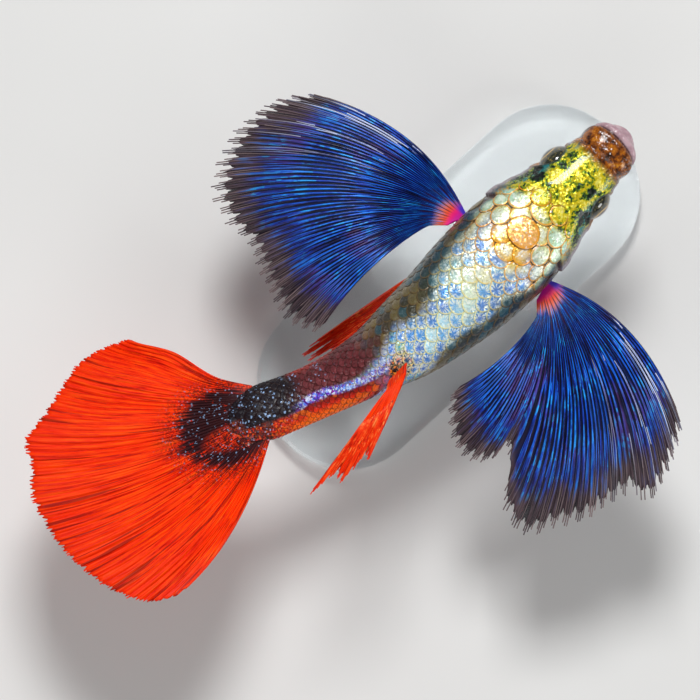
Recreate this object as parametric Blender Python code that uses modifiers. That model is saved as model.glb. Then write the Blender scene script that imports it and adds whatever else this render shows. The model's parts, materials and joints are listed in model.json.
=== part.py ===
"""A life-size display model of a fancy guppy, a male with broad pectoral fins.

The fish looks along +X, its left side is +Y and +Z is up. The body lies level, bends
to its left behind the trunk and rolls over until the tail fin is seen flat from above.
The origin is the middle of the stand's underside. Sizes are in millimetres and angles
in degrees, and MM turns a finished point into metres.
"""

import math
import random

import bmesh
import bpy
from mathutils import Matrix, Vector

MM = 0.001
GAP = 0.3
SLANTED_GAP = 0.38

# Where the fish is held above the stand
AXIS_HEIGHT = 16.0
TRUNK_X = 4.5
TRUNK_Y = -0.7

# Body: a share of the standard length runs from 0 at the snout to 1 at the tail fin
STANDARD_LENGTH = 38.2
SNOUT_X = 13.8
SNOUT_Y = 0.3
FRONT_HEADING = -1.8
TAIL_BEND = 23.0
BEND_START = 0.40
NOSE_SHARE = 0.045
FLESH_END = 0.955
BODY_SIDES = 36
HALF_WIDTH = (
    (0.0, 1.5), (0.04, 2.0), (0.08, 2.35), (0.137, 2.75), (0.20, 3.35), (0.27, 4.1),
    (0.34, 4.3), (0.45, 4.15), (0.53, 3.75), (0.63, 3.2), (0.72, 2.25), (0.83, 1.4),
    (0.93, 0.95), (1.0, 0.7),
)
BACK_HEIGHT = (
    (0.0, 1.8), (0.04, 2.3), (0.137, 3.0), (0.25, 3.7), (0.40, 4.1), (0.55, 3.7),
    (0.63, 3.25), (0.72, 2.75), (0.83, 2.35), (0.93, 2.35), (1.0, 2.6),
)
BELLY_HEIGHT = (
    (0.0, 0.4), (0.04, -0.5), (0.08, -1.4), (0.137, -2.45), (0.20, -3.4), (0.30, -4.5),
    (0.40, -4.9), (0.50, -4.5), (0.60, -3.6), (0.72, -2.9), (0.83, -2.4), (0.93, -2.35),
    (1.0, -2.6),
)
WIDEST_HEIGHT = ((0.0, 1.2), (0.137, 0.5), (0.30, 0.2), (0.50, 0.0), (1.0, 0.0))
ROLL = ((0.0, 0.0), (0.35, 0.0), (0.50, 7.0), (0.63, 23.0), (0.75, 49.0), (0.88, 70.0), (1.0, 78.0))
HEAD_FULLNESS = 2.4
TAIL_FULLNESS = 2.0

# Where the body is parted, as shares of its length
GILL_NAPE = 0.235
GILL_SIDE = 0.285
GILL_THROAT = 0.20
GILL_FLARE = 0.16
GILL_FLARE_LENGTH = 0.05
TRUNK_CUT = 0.50
STALK_CUT = 0.72
HEAD_RINGS = 24
TRUNK_RINGS = 8
STALK_RINGS = 8
SPACE_RINGS = 30

# Mouth: a slit that runs down and back from the lips, then the line of the chin
LIP_X = 12.9
LIP_Z = 2.15
MOUTH_SLOPE = 0.75
CORNER_Z = 0.35
CHIN_X = 11.1
CHIN_Z = -3.0
LIP_ROLL_SHARE = 0.05
LIP_ROLL_LENGTH = 0.022
LIP_ROLL_HEIGHT = 0.16
LIP_CREASE_SHARE = 0.076
LIP_CREASE_LENGTH = 0.012
LIP_CREASE_DEPTH = 0.14
LIP_RADIUS = 0.3
LIP_CORNER_RADIUS = 0.14
LIP_SINK = 0.06
LIP_POINTS = 15
LIP_FIRST_ANGLE = 6.0
LIP_OFFSET = 0.42
JAW_END = 0.13
JAW_RINGS = 12

# Eyes and nostrils
EYE_SHARE = 0.152
EYE_RADIUS = 1.5
EYE_HALF_DEPTH = 1.0
EYE_OUT = 2.3
EYE_UP = 0.75
NOSTRIL_SHARE = 0.09
NOSTRIL_ANGLE = 62.0
NOSTRIL_RADIUS = 0.24

# Fins: a membrane with raised rays, thinner at the tips
MEMBRANE = 0.5
RAY_THICKNESS = 0.72
ROOT_REACH = 0.25
TIP_THICKNESS = 0.3
TIP_START = 0.8
STEM_REACH = 0.1
WAVE_START = 0.15
FIN_WAVE = 0.1
FRINGE = 0.05
TAIL_FRINGE = 0.03
FIN_CLEARANCE = 0.05

# Stand: a flat base with two rods
BASE_LENGTH = 36.0
BASE_WIDTH = 14.0
BASE_THICKNESS = 2.0
BASE_CORNER = 6.5
BASE_EDGE = 0.35
ROD_RADIUS = 0.85
ROD_SIDES = 24
FRONT_ROD_SHARE = 0.34
REAR_ROD_SHARE = 0.77


def clear_scene():
    for item in list(bpy.data.objects):
        bpy.data.objects.remove(item, do_unlink=True)


def new_collection(name, hidden=False):
    collection = bpy.data.collections.new(name)
    bpy.context.scene.collection.children.link(collection)
    collection.hide_render = hidden
    return collection


def principled(name, colour, roughness, metallic=0.0, transmission=0.0):
    material = bpy.data.materials.new(name)
    material.use_nodes = True
    shader = material.node_tree.nodes["Principled BSDF"]
    shader.inputs["Base Color"].default_value = (*colour, 1.0)
    shader.inputs["Roughness"].default_value = roughness
    shader.inputs["Metallic"].default_value = metallic
    shader.inputs["Transmission Weight"].default_value = transmission
    return material


def curve_value(table, at):
    """A smooth curve through the table's (place, value) pairs."""
    last = len(table) - 1
    if at <= table[0][0]:
        return table[0][1]
    if at >= table[last][0]:
        return table[last][1]
    k = next(i for i in range(last) if at <= table[i + 1][0])
    before = table[max(k - 1, 0)]
    low, high = table[k], table[k + 1]
    after = table[min(k + 2, last)]
    span = high[0] - low[0]
    slope_low = (high[1] - before[1]) / (high[0] - before[0]) * span
    slope_high = (after[1] - low[1]) / (after[0] - low[0]) * span
    t = (at - low[0]) / span
    return (
        (2 * t**3 - 3 * t**2 + 1) * low[1]
        + (t**3 - 2 * t**2 + t) * slope_low
        + (3 * t**2 - 2 * t**3) * high[1]
        + (t**3 - t**2) * slope_high
    )


def ease(value):
    value = min(max(value, 0.0), 1.0)
    return value * value * (3 - 2 * value)


def heading(share):
    """How far the body has turned to its left at this share of its length, in radians."""
    turn = ease((share - BEND_START) / (1 - BEND_START))
    return math.radians(FRONT_HEADING + (TAIL_BEND - FRONT_HEADING) * turn)


def trace_spine(count):
    points = [Vector((TRUNK_X + SNOUT_X, TRUNK_Y + SNOUT_Y, AXIS_HEIGHT))]
    step = STANDARD_LENGTH / count
    for k in range(count):
        turn = heading((k + 0.5) / count)
        points.append(points[-1] + Vector((-math.cos(turn), math.sin(turn), 0)) * step)
    return points


SPINE = trace_spine(400)


def spine_point(share):
    place = min(max(share, 0.0), 1.0) * (len(SPINE) - 1)
    k = min(int(place), len(SPINE) - 2)
    return SPINE[k].lerp(SPINE[k + 1], place - k)


def body_axes(share):
    """The directions of the tail, the left flank and the back at this share of the length."""
    turn = heading(share)
    roll = math.radians(curve_value(ROLL, share))
    tailward = Vector((-math.cos(turn), math.sin(turn), 0))
    level_left = Vector((math.sin(turn), math.cos(turn), 0))
    up = Vector((0, 0, 1))
    left = level_left * math.cos(roll) + up * math.sin(roll)
    back = up * math.cos(roll) - level_left * math.sin(roll)
    return tailward, left, back


def rounded(value, fullness):
    return math.copysign(abs(value) ** (2 / fullness), value)


def section_point(share, angle):
    """A point of the skin: 0 degrees is the left flank, 90 the back, 270 the belly."""
    _, left, back = body_axes(share)
    turn = math.radians(angle)
    fullness = HEAD_FULLNESS + (TAIL_FULLNESS - HEAD_FULLNESS) * ease(share)
    nose = 1.0
    if share < NOSE_SHARE:
        nose = math.sqrt(max(1 - (1 - share / NOSE_SHARE) ** 2, 0.0))
    middle = curve_value(WIDEST_HEIGHT, share)
    edge = BACK_HEIGHT if math.sin(turn) >= 0 else BELLY_HEIGHT
    tall = abs(curve_value(edge, share) - middle) * nose
    wide = curve_value(HALF_WIDTH, share) * nose
    across = wide * rounded(math.cos(turn), fullness)
    upward = middle + tall * rounded(math.sin(turn), fullness)
    return spine_point(share) + left * across + back * upward


def body_point(share, angle, out=0.0):
    """The same point, moved out from the skin."""
    point = section_point(share, angle)
    if not out:
        return point
    further, nearer = min(share + 0.004, 1.0), max(share - 0.004, 0.0)
    along = section_point(further, angle) - section_point(nearer, angle)
    around = section_point(share, angle + 2) - section_point(share, angle - 2)
    return point + along.cross(around).normalized() * out


def gill_edge(angle):
    """The share of the length at which the gill cover ends, for each angle round the body."""
    side = abs(math.cos(math.radians(angle))) ** 1.5
    middle = GILL_NAPE if math.sin(math.radians(angle)) >= 0 else GILL_THROAT
    return middle + (GILL_SIDE - middle) * side


def straight_edge(share):
    return lambda angle: share


def shifted_edge(edge, millimetres):
    return lambda angle: edge(angle) + millimetres / STANDARD_LENGTH


def no_flare(share, angle):
    return 0.0


def gill_flare(share, angle):
    """How far the gill cover stands out over the trunk."""
    side = abs(math.cos(math.radians(angle)))
    return GILL_FLARE * side * ease(1 - (gill_edge(angle) - share) / GILL_FLARE_LENGTH)


def bell(value, middle, width):
    return math.exp(-(((value - middle) / width) ** 2))


def head_relief(share, angle):
    """The roll of the upper lip, the crease behind it and the rim of the gill cover."""
    upper = ease(0.5 + math.sin(math.radians(angle)))
    roll = LIP_ROLL_HEIGHT * bell(share, LIP_ROLL_SHARE, LIP_ROLL_LENGTH)
    crease = LIP_CREASE_DEPTH * bell(share, LIP_CREASE_SHARE, LIP_CREASE_LENGTH)
    return (roll - crease) * upper + gill_flare(share, angle)


def mesh_object(name, collection, bm, smooth=True):
    mesh = bpy.data.meshes.new(name)
    bm.to_mesh(mesh)
    bm.free()
    item = bpy.data.objects.new(name, mesh)
    collection.objects.link(item)
    if smooth:
        mesh.shade_smooth()
    return item


def body_length(name, collection, first, last, steps, flare=no_flare, out=0.0):
    """One closed length of the body, lofted between two edges."""
    bm = bmesh.new()
    angles = [360 * k / BODY_SIDES for k in range(BODY_SIDES)]
    rings = []
    for step in steps:
        ring = []
        for angle in angles:
            share = first(angle) + (last(angle) - first(angle)) * step
            point = body_point(share, angle, out + flare(share, angle))
            ring.append(bm.verts.new(point * MM))
        rings.append(ring)
    for near, far in zip(rings, rings[1:]):
        for k in range(BODY_SIDES):
            other = (k + 1) % BODY_SIDES
            bm.faces.new((near[k], near[other], far[other], far[k]))
    for ring in (rings[0], rings[-1]):
        hub = bm.verts.new(sum((v.co for v in ring), Vector()) / BODY_SIDES)
        for k in range(BODY_SIDES):
            bm.faces.new((hub, ring[k], ring[(k + 1) % BODY_SIDES]))
    bmesh.ops.recalc_face_normals(bm, faces=bm.faces)
    bmesh.ops.triangulate(bm, faces=bm.faces)
    return mesh_object(name, collection, bm)


def even_steps(count):
    return [k / count for k in range(count + 1)]


def nose_steps(count):
    """Steps that crowd towards the snout, where the body closes quickly."""
    return [0.002 + 0.998 * (k / count) ** 1.6 for k in range(count + 1)]


def side_prism(name, collection, outline, half_width):
    """A block with this side outline of (x, z) places, reaching to both sides of the head."""
    bm = bmesh.new()
    corners = [bm.verts.new(Vector((x, -half_width, z)) * MM) for x, z in outline]
    face = bm.faces.new(corners)
    moved = bmesh.ops.extrude_face_region(bm, geom=[face])["geom"]
    sides = [v for v in moved if isinstance(v, bmesh.types.BMVert)]
    bmesh.ops.translate(bm, verts=sides, vec=Vector((0, 2 * half_width * MM, 0)))
    bmesh.ops.recalc_face_normals(bm, faces=bm.faces)
    item = mesh_object(name, collection, bm, smooth=False)
    item.display_type = "WIRE"
    item.hide_render = True
    return item


def mouth_x(height):
    """Where the mouth's slit lies, for a height above the body's axis."""
    return TRUNK_X + LIP_X - (LIP_Z - height) * MOUTH_SLOPE


def jaw_block(name, collection, clearance):
    """The space of the lower jaw, in front of the slit and of the chin's line."""
    top = LIP_Z + 4.0
    front = TRUNK_X + SNOUT_X + 3.0
    slant = clearance * math.hypot(1, MOUTH_SLOPE)
    chin_x = TRUNK_X + CHIN_X - clearance
    corner_x = mouth_x(CORNER_Z) - slant
    outline = [
        (mouth_x(top) - slant, AXIS_HEIGHT + top),
        (corner_x, AXIS_HEIGHT + CORNER_Z),
        (chin_x, AXIS_HEIGHT + CHIN_Z - 2.0),
        (front, AXIS_HEIGHT + CHIN_Z - 2.0),
        (front, AXIS_HEIGHT + top),
    ]
    return side_prism(name, collection, outline, 2 * EYE_OUT)


def on_mouth_line(angle, behind):
    """The point of the skin at this angle that lies this far behind the mouth's slit."""
    low, high = 0.001, 0.12
    for _ in range(40):
        share = (low + high) / 2
        point = body_point(share, angle)
        if point.x > mouth_x(point.z - AXIS_HEIGHT) - behind:
            low = share
        else:
            high = share
    return body_point((low + high) / 2, angle, -LIP_SINK)


def lip(name, collection, behind, first_angle):
    """A rounded lip along the mouth, thinner towards its corners."""
    curve = bpy.data.curves.new(name, "CURVE")
    curve.dimensions = "3D"
    curve.bevel_depth = LIP_RADIUS * MM
    curve.bevel_resolution = 1
    curve.use_fill_caps = True
    spline = curve.splines.new("POLY")
    spline.points.add(LIP_POINTS - 1)
    for k, point in enumerate(spline.points):
        share = k / (LIP_POINTS - 1)
        place = on_mouth_line(first_angle + (180 - 2 * first_angle) * share, behind)
        point.co = (*(place * MM), 1.0)
        middle = math.sin(math.pi * share)
        point.radius = (LIP_CORNER_RADIUS + (LIP_RADIUS - LIP_CORNER_RADIUS) * middle) / LIP_RADIUS
    item = bpy.data.objects.new(name, curve)
    collection.objects.link(item)
    return meshed(item, collection)


def meshed(item, collection):
    """The object's evaluated shape as a plain welded mesh, in place of the object."""
    bpy.context.view_layer.update()
    graph = bpy.context.evaluated_depsgraph_get()
    mesh = bpy.data.meshes.new_from_object(item.evaluated_get(graph))
    name = item.name
    place = item.matrix_world.copy()
    bpy.data.objects.remove(item, do_unlink=True)
    bm = bmesh.new()
    bm.from_mesh(mesh)
    bmesh.ops.remove_doubles(bm, verts=bm.verts, dist=1e-6)
    bmesh.ops.triangulate(bm, faces=bm.faces)
    bm.to_mesh(mesh)
    bm.free()
    fresh = bpy.data.objects.new(name, mesh)
    fresh.matrix_world = place
    collection.objects.link(fresh)
    mesh.shade_smooth()
    return fresh


def keep_largest(item):
    """Keeps the largest closed surface of a mesh and drops scraps and sealed hollows."""
    bm = bmesh.new()
    bm.from_mesh(item.data)
    left = set(bm.verts)
    groups = []
    while left:
        seed = left.pop()
        group = {seed}
        edge = [seed]
        while edge:
            vert = edge.pop()
            for link in vert.link_edges:
                other = link.other_vert(vert)
                if other in left:
                    left.discard(other)
                    group.add(other)
                    edge.append(other)
        groups.append(group)
    groups.sort(key=box_volume, reverse=True)
    spare = [vert for group in groups[1:] for vert in group]
    bmesh.ops.delete(bm, geom=spare, context="VERTS")
    bm.to_mesh(item.data)
    bm.free()


def box_volume(verts):
    spans = [max(v.co[k] for v in verts) - min(v.co[k] for v in verts) for k in range(3)]
    return spans[0] * spans[1] * spans[2]


def cut(item, collection, tool, operation="DIFFERENCE"):
    modifier = item.modifiers.new("cut", "BOOLEAN")
    modifier.operation = operation
    modifier.solver = "EXACT"
    modifier.object = tool
    return settle(item, collection)


def join(item, collection, extras, name):
    """Joins closed pieces to an object by one union, and removes the pieces."""
    group = new_collection(name, hidden=True)
    for extra in extras:
        for holder in list(extra.users_collection):
            holder.objects.unlink(extra)
        group.objects.link(extra)
    modifier = item.modifiers.new("join", "BOOLEAN")
    modifier.operation = "UNION"
    modifier.solver = "EXACT"
    modifier.operand_type = "COLLECTION"
    modifier.collection = group
    settled = settle(item, collection)
    for extra in list(group.objects):
        bpy.data.objects.remove(extra, do_unlink=True)
    bpy.data.collections.remove(group)
    return settled


def settle(item, collection):
    """Applies the modifiers and keeps the one closed body."""
    fresh = meshed(item, collection)
    keep_largest(fresh)
    return fresh


def ellipsoid(name, collection, centre, radii, across, around):
    bm = bmesh.new()
    bmesh.ops.create_uvsphere(bm, u_segments=around, v_segments=across, radius=1.0)
    bmesh.ops.rotate(bm, verts=bm.verts, matrix=Matrix.Rotation(math.pi / 2, 3, "X"))
    bmesh.ops.scale(bm, verts=bm.verts, vec=Vector(radii) * MM)
    bmesh.ops.translate(bm, verts=bm.verts, vec=centre * MM)
    bmesh.ops.triangulate(bm, faces=bm.faces)
    return mesh_object(name, collection, bm)


def eye_centre(side):
    return spine_point(EYE_SHARE) + Vector((0, side * EYE_OUT, EYE_UP))


def make_head(parts, cutters):
    """The head with its upper lip, eye sockets and nostrils, back to the gill covers."""
    end = shifted_edge(gill_edge, -SLANTED_GAP / 2)
    head = body_length("head", parts, straight_edge(0.0), end, nose_steps(HEAD_RINGS), head_relief)
    upper_lip = lip("upper_lip", cutters, LIP_OFFSET, LIP_FIRST_ANGLE)
    head = join(head, parts, [upper_lip], "upper_lip_join")
    tools = [jaw_block("jaw_space", cutters, GAP / 2)]
    for side, word in ((1, "left"), (-1, "right")):
        socket_radii = (EYE_RADIUS + GAP, EYE_HALF_DEPTH + GAP, EYE_RADIUS + GAP)
        tools.append(ellipsoid(f"socket_{word}", cutters, eye_centre(side), socket_radii, 12, 20))
        angle = NOSTRIL_ANGLE if side > 0 else 180 - NOSTRIL_ANGLE
        pit_radii = (NOSTRIL_RADIUS, NOSTRIL_RADIUS, NOSTRIL_RADIUS)
        pit = body_point(NOSTRIL_SHARE, angle)
        tools.append(ellipsoid(f"nostril_{word}", cutters, pit, pit_radii, 6, 8))
    for tool in tools:
        hide_tool(tool)
        head = cut(head, parts, tool)
    return head


def hide_tool(tool):
    tool.display_type = "WIRE"
    tool.hide_render = True


def make_lower_jaw(parts, cutters):
    end = straight_edge(JAW_END)
    jaw = body_length("lower_jaw", parts, straight_edge(0.0), end, nose_steps(JAW_RINGS))
    lower_lip = lip("lower_lip", cutters, -LIP_OFFSET, LIP_FIRST_ANGLE)
    jaw = join(jaw, parts, [lower_lip], "lower_lip_join")
    space = jaw_block("jaw_part", cutters, -GAP / 2)
    return cut(jaw, parts, space, "INTERSECT")


def make_trunk(parts):
    front = body_length(
        "trunk_front",
        parts,
        shifted_edge(gill_edge, SLANTED_GAP / 2),
        shifted_edge(straight_edge(TRUNK_CUT), -GAP / 2),
        even_steps(TRUNK_RINGS),
    )
    rear = body_length(
        "trunk_rear",
        parts,
        shifted_edge(straight_edge(TRUNK_CUT), GAP / 2),
        shifted_edge(straight_edge(STALK_CUT), -GAP / 2),
        even_steps(TRUNK_RINGS),
    )
    stalk = body_length(
        "tail_stalk",
        parts,
        shifted_edge(straight_edge(STALK_CUT), GAP / 2),
        straight_edge(FLESH_END),
        even_steps(STALK_RINGS),
    )
    return [front, rear, stalk]


def wave(across, t, height, count):
    """Soft folds across a fin, which begin a little way out from its root."""
    return height * math.cos(2 * math.pi * count * across) * ease((t - WAVE_START) / (1 - WAVE_START))


def bezier(root, control, tip, t):
    return root * (1 - t) ** 2 + control * 2 * t * (1 - t) + tip * t**2


def plan_direction(angle):
    """A level direction: 0 degrees is towards the head, 90 the fish's left, 180 the tail."""
    turn = math.radians(angle)
    return Vector((math.cos(turn), math.sin(turn), 0))


def fin_sheet(name, collection, shape, ray_line, lift, fringe, seed):
    """A fin: an open sheet of rays and membrane, given its thickness by Solidify.

    shape holds the rays, the rows along them and the thickness at the root. ray_line
    gives the root, the bend and the tip of the line at each share across the fin, and
    the stem that first carries it away from the body. lift is the height that waves and
    droop add. Rays are the even columns. They are thicker than the membrane between
    them and end past it in a fine fringe.
    """
    rays, rows, root_thickness = shape
    draw = random.Random(seed)
    columns = 2 * rays + 1
    bm = bmesh.new()
    layer = bm.verts.layers.deform.verify()
    grid = []
    for column in range(columns):
        across = column / (columns - 1)
        is_ray = column % 2 == 0
        shorter = draw.uniform(0, fringe / 2)
        if not is_ray:
            shorter = fringe + draw.uniform(0, fringe / 2)
        root, control, tip, stem = ray_line(across)
        line = []
        for row in range(rows + 1):
            t = row / rows
            place = t - shorter * t**4
            point = bezier(root, control, tip, place) + stem * ease(t / STEM_REACH)
            point = point + Vector((0, 0, lift(across, place)))
            vert = bm.verts.new(point * MM)
            middle = RAY_THICKNESS if is_ray else MEMBRANE
            thick = middle + (root_thickness - middle) * ease(1 - t / ROOT_REACH)
            thick = thick + (TIP_THICKNESS - thick) * ease((t - TIP_START) / (1 - TIP_START))
            vert[layer][0] = thick / RAY_THICKNESS
            line.append(vert)
        grid.append(line)
    for column in range(columns - 1):
        for row in range(rows):
            a, b = grid[column][row], grid[column + 1][row]
            c, d = grid[column + 1][row + 1], grid[column][row + 1]
            if column % 2:
                bm.faces.new((a, b, c))
                bm.faces.new((a, c, d))
            else:
                bm.faces.new((a, b, d))
                bm.faces.new((b, c, d))
    sheet = mesh_object(name, collection, bm)
    group = sheet.vertex_groups.new(name="thickness")
    solid = sheet.modifiers.new("thickness", "SOLIDIFY")
    solid.thickness = RAY_THICKNESS * MM
    solid.offset = 0.0
    solid.vertex_group = group.name
    solid.thickness_vertex_group = 0.0
    return sheet


# Pectoral fins: the length of a ray by the angle of its tip, from the root
PECTORAL_LEFT_MARGIN = (
    (97.0, 15.2), (106.0, 17.4), (115.0, 18.7), (123.0, 19.3), (133.0, 19.3),
    (141.0, 17.9), (146.0, 16.5), (160.0, 15.8), (172.0, 15.5), (180.0, 14.2),
)
PECTORAL_RIGHT_MARGIN = (
    (87.0, 15.2), (99.0, 17.5), (107.0, 18.7), (109.5, 17.4), (116.0, 17.6),
    (124.0, 18.4), (132.0, 18.7), (137.5, 19.3), (142.0, 18.6), (145.5, 16.2),
    (147.5, 12.6), (152.0, 13.9), (157.0, 14.5), (164.0, 14.3), (170.0, 13.1),
    (176.0, 11.7), (179.0, 10.8),
)
PECTORAL_LEFT_BASE = (0.352, 0.393)
PECTORAL_RIGHT_BASE = (0.322, 0.37)
PECTORAL_BASE_ANGLE = -6.0
PECTORAL_STEM = 0.75
PECTORAL_BEND = 25.0
PECTORAL_TRAILING_BEND = 14.0
PECTORAL_BEND_REACH = 0.49
PECTORAL_SPAN = 18.0
PECTORAL_DOME = 1.3
PECTORAL_DROOP = -0.9
PECTORAL_PLEAT = 0.28
PECTORAL_PLEATS = 5
PECTORAL_THICKNESS = 0.56
PECTORAL_RAYS = 13
PECTORAL_ROWS = 11


def make_pectoral(collection, side):
    margin = PECTORAL_LEFT_MARGIN if side > 0 else PECTORAL_RIGHT_MARGIN
    base = PECTORAL_LEFT_BASE if side > 0 else PECTORAL_RIGHT_BASE
    base_angle = PECTORAL_BASE_ANGLE if side > 0 else 180 - PECTORAL_BASE_ANGLE
    hub = body_point((base[0] + base[1]) / 2, base_angle)

    def ray_line(across):
        share = base[0] + (base[1] - base[0]) * across
        root = body_point(share, base_angle, GAP + FIN_CLEARANCE)
        angle = margin[0][0] + (margin[-1][0] - margin[0][0]) * across
        length = curve_value(margin, angle)
        start = angle - PECTORAL_BEND * (1 - across) ** 1.2 - PECTORAL_TRAILING_BEND * across
        tip = hub + plan_direction(side * angle) * length
        control = root + plan_direction(side * start) * length * PECTORAL_BEND_REACH
        return root, control, tip, Vector((0, side * PECTORAL_STEM * across, 0))

    def lift(across, t):
        angle = margin[0][0] + (margin[-1][0] - margin[0][0]) * across
        out = t * curve_value(margin, angle) / PECTORAL_SPAN
        bowl = PECTORAL_DOME * math.sin(math.pi * out) + PECTORAL_DROOP * out**2
        return bowl + wave(across, out, PECTORAL_PLEAT, PECTORAL_PLEATS)

    name = "fin_pectoral_left" if side > 0 else "fin_pectoral_right"
    shape = (PECTORAL_RAYS, PECTORAL_ROWS, PECTORAL_THICKNESS)
    return fin_sheet(name, collection, shape, ray_line, lift, FRINGE, 3 + side)


# Tail fin: the length of a ray by the angle of its tip, from the middle of its base
CAUDAL_MARGIN = (
    (107.0, 11.7), (112.0, 12.8), (117.0, 13.9), (123.0, 14.9), (130.0, 15.7),
    (138.0, 17.0), (144.0, 18.5), (150.0, 18.3), (157.0, 18.9), (164.0, 18.8),
    (174.0, 18.5), (181.0, 18.2), (189.0, 17.7), (196.0, 17.1), (202.0, 15.8),
    (205.0, 14.6),
)
CAUDAL_HALF_BASE = 2.55
CAUDAL_BASE_FIRST = 126.0
CAUDAL_BASE_LAST = 213.0
CAUDAL_BEND_REACH = 0.5
CAUDAL_PLEAT = 0.3
CAUDAL_PLEATS = 6
CAUDAL_CUP = -0.8
CAUDAL_THICKNESS = 0.72
CAUDAL_RAYS = 26
CAUDAL_ROWS = 13


def make_caudal(collection):
    tailward, _, back = body_axes(FLESH_END)
    middle = spine_point(FLESH_END) + tailward * GAP
    level_right = Vector((back.x, back.y, 0)).normalized()
    tilt = back.z / Vector((back.x, back.y, 0)).length

    def ray_line(across):
        root = middle + back * CAUDAL_HALF_BASE * (2 * across - 1)
        angle = CAUDAL_MARGIN[0][0] + (CAUDAL_MARGIN[-1][0] - CAUDAL_MARGIN[0][0]) * across
        length = curve_value(CAUDAL_MARGIN, angle)
        tip = middle + plan_direction(angle) * length
        tip = tip + Vector((0, 0, (tip - middle).dot(level_right) * tilt))
        start = CAUDAL_BASE_FIRST + (CAUDAL_BASE_LAST - CAUDAL_BASE_FIRST) * across
        control = root + plan_direction(start) * length * CAUDAL_BEND_REACH
        control = control + Vector((0, 0, (control - root).dot(level_right) * tilt))
        return root, control, tip, Vector()

    def lift(across, t):
        cup = CAUDAL_CUP * math.sin(math.pi * t) * (2 * across - 1)
        return cup + wave(across, t, CAUDAL_PLEAT, CAUDAL_PLEATS)

    shape = (CAUDAL_RAYS, CAUDAL_ROWS, CAUDAL_THICKNESS)
    return fin_sheet("fin_caudal", collection, shape, ray_line, lift, TAIL_FRINGE, 7)


# Dorsal fin: where its rays end, in millimetres from the middle of the trunk
DORSAL_BASE = (0.632, 0.692)
DORSAL_TIPS = ((0.0, -18.6, -4.9), (0.35, -20.4, -4.8), (0.7, -22.6, -4.3), (1.0, -24.1, -3.6))
DORSAL_CLEARANCE = 0.12
DORSAL_STEM = 0.5
DORSAL_BEND_REACH = 0.3
DORSAL_FIRST_BOW = 1.2
DORSAL_LAST_BOW = 0.7
DORSAL_RISE = 2.2
DORSAL_DROOP = -1.6
DORSAL_THICKNESS = 0.7
DORSAL_RAYS = 7
DORSAL_ROWS = 9


def make_dorsal(collection):
    tips_x = [(place, x) for place, x, _ in DORSAL_TIPS]
    tips_y = [(place, y) for place, _, y in DORSAL_TIPS]

    def ray_line(across):
        share = DORSAL_BASE[0] + (DORSAL_BASE[1] - DORSAL_BASE[0]) * across
        root = body_point(share, 90, GAP + DORSAL_CLEARANCE)
        tip = Vector((curve_value(tips_x, across), curve_value(tips_y, across), 0))
        tip = tip + Vector((TRUNK_X, TRUNK_Y, root.z + DORSAL_RISE + DORSAL_DROOP))
        bow = DORSAL_FIRST_BOW + (DORSAL_LAST_BOW - DORSAL_FIRST_BOW) * across
        control = root.lerp(tip, DORSAL_BEND_REACH) + Vector((0, 0, DORSAL_RISE * bow))
        _, _, back = body_axes(share)
        return root, control, tip, back * DORSAL_STEM

    def lift(across, t):
        return wave(across, t, FIN_WAVE, 2)

    shape = (DORSAL_RAYS, DORSAL_ROWS, DORSAL_THICKNESS)
    return fin_sheet("fin_dorsal", collection, shape, ray_line, lift, FRINGE, 11)


# Pelvic fins: a pair of narrow fans under the belly, the left one spread out sideways
PELVIC_SHARE = 0.455
PELVIC_BASE_ANGLES = (34.0, 12.0)
PELVIC_THICKNESS = 0.6
PELVIC_LEFT_TIPS = (
    (0.0, -16.2, 4.75), (0.3, -17.5, 4.6), (0.5, -16.7, 4.2), (0.75, -17.2, 3.9), (1.0, -15.2, 3.0),
)
PELVIC_RIGHT_TIPS = ((0.0, -11.5, -2.4), (0.5, -13.0, -1.6), (1.0, -11.8, -0.6))
PELVIC_BEND_REACH = 0.3
PELVIC_BOW = 0.25
PELVIC_DROP = 0.75
PELVIC_LEFT_RISE = 0.5
PELVIC_RIGHT_RISE = -0.2
PELVIC_RAYS = 4
PELVIC_ROWS = 9


def make_pelvic(collection, side):
    tips = PELVIC_LEFT_TIPS if side > 0 else PELVIC_RIGHT_TIPS
    tips_x = [(place, x) for place, x, _ in tips]
    tips_y = [(place, y) for place, _, y in tips]
    rise = PELVIC_LEFT_RISE if side > 0 else PELVIC_RIGHT_RISE
    level = body_point(PELVIC_SHARE, 270, GAP).z + rise

    def ray_line(across):
        turn = PELVIC_BASE_ANGLES[0] + (PELVIC_BASE_ANGLES[1] - PELVIC_BASE_ANGLES[0]) * across
        root = body_point(PELVIC_SHARE, 270 + side * turn, GAP + PELVIC_THICKNESS / 2)
        tip_x = TRUNK_X + curve_value(tips_x, across)
        tip_y = TRUNK_Y + curve_value(tips_y, across)
        tip = Vector((tip_x, tip_y, level))
        bow = side * PELVIC_BOW * (1 - across)
        control = root.lerp(tip, PELVIC_BEND_REACH) + Vector((0, bow, -PELVIC_DROP))
        return root, control, tip, Vector()

    def lift(across, t):
        return wave(across, t, FIN_WAVE, 1)

    name = "fin_pelvic_left" if side > 0 else "fin_pelvic_right"
    shape = (PELVIC_RAYS, PELVIC_ROWS, PELVIC_THICKNESS)
    return fin_sheet(name, collection, shape, ray_line, lift, FRINGE, 17 + side)


# Anal fin of a male, a slender pointed rod of a few rays
ANAL_BASE = (0.545, 0.575)
ANAL_LENGTH = 5.4
ANAL_DROP = 1.7
ANAL_TIP_DROP = 1.3
ANAL_TAPER = 0.5
ANAL_BEND_REACH = 0.25
ANAL_THICKNESS = 0.7
ANAL_RAYS = 2
ANAL_ROWS = 8


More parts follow.
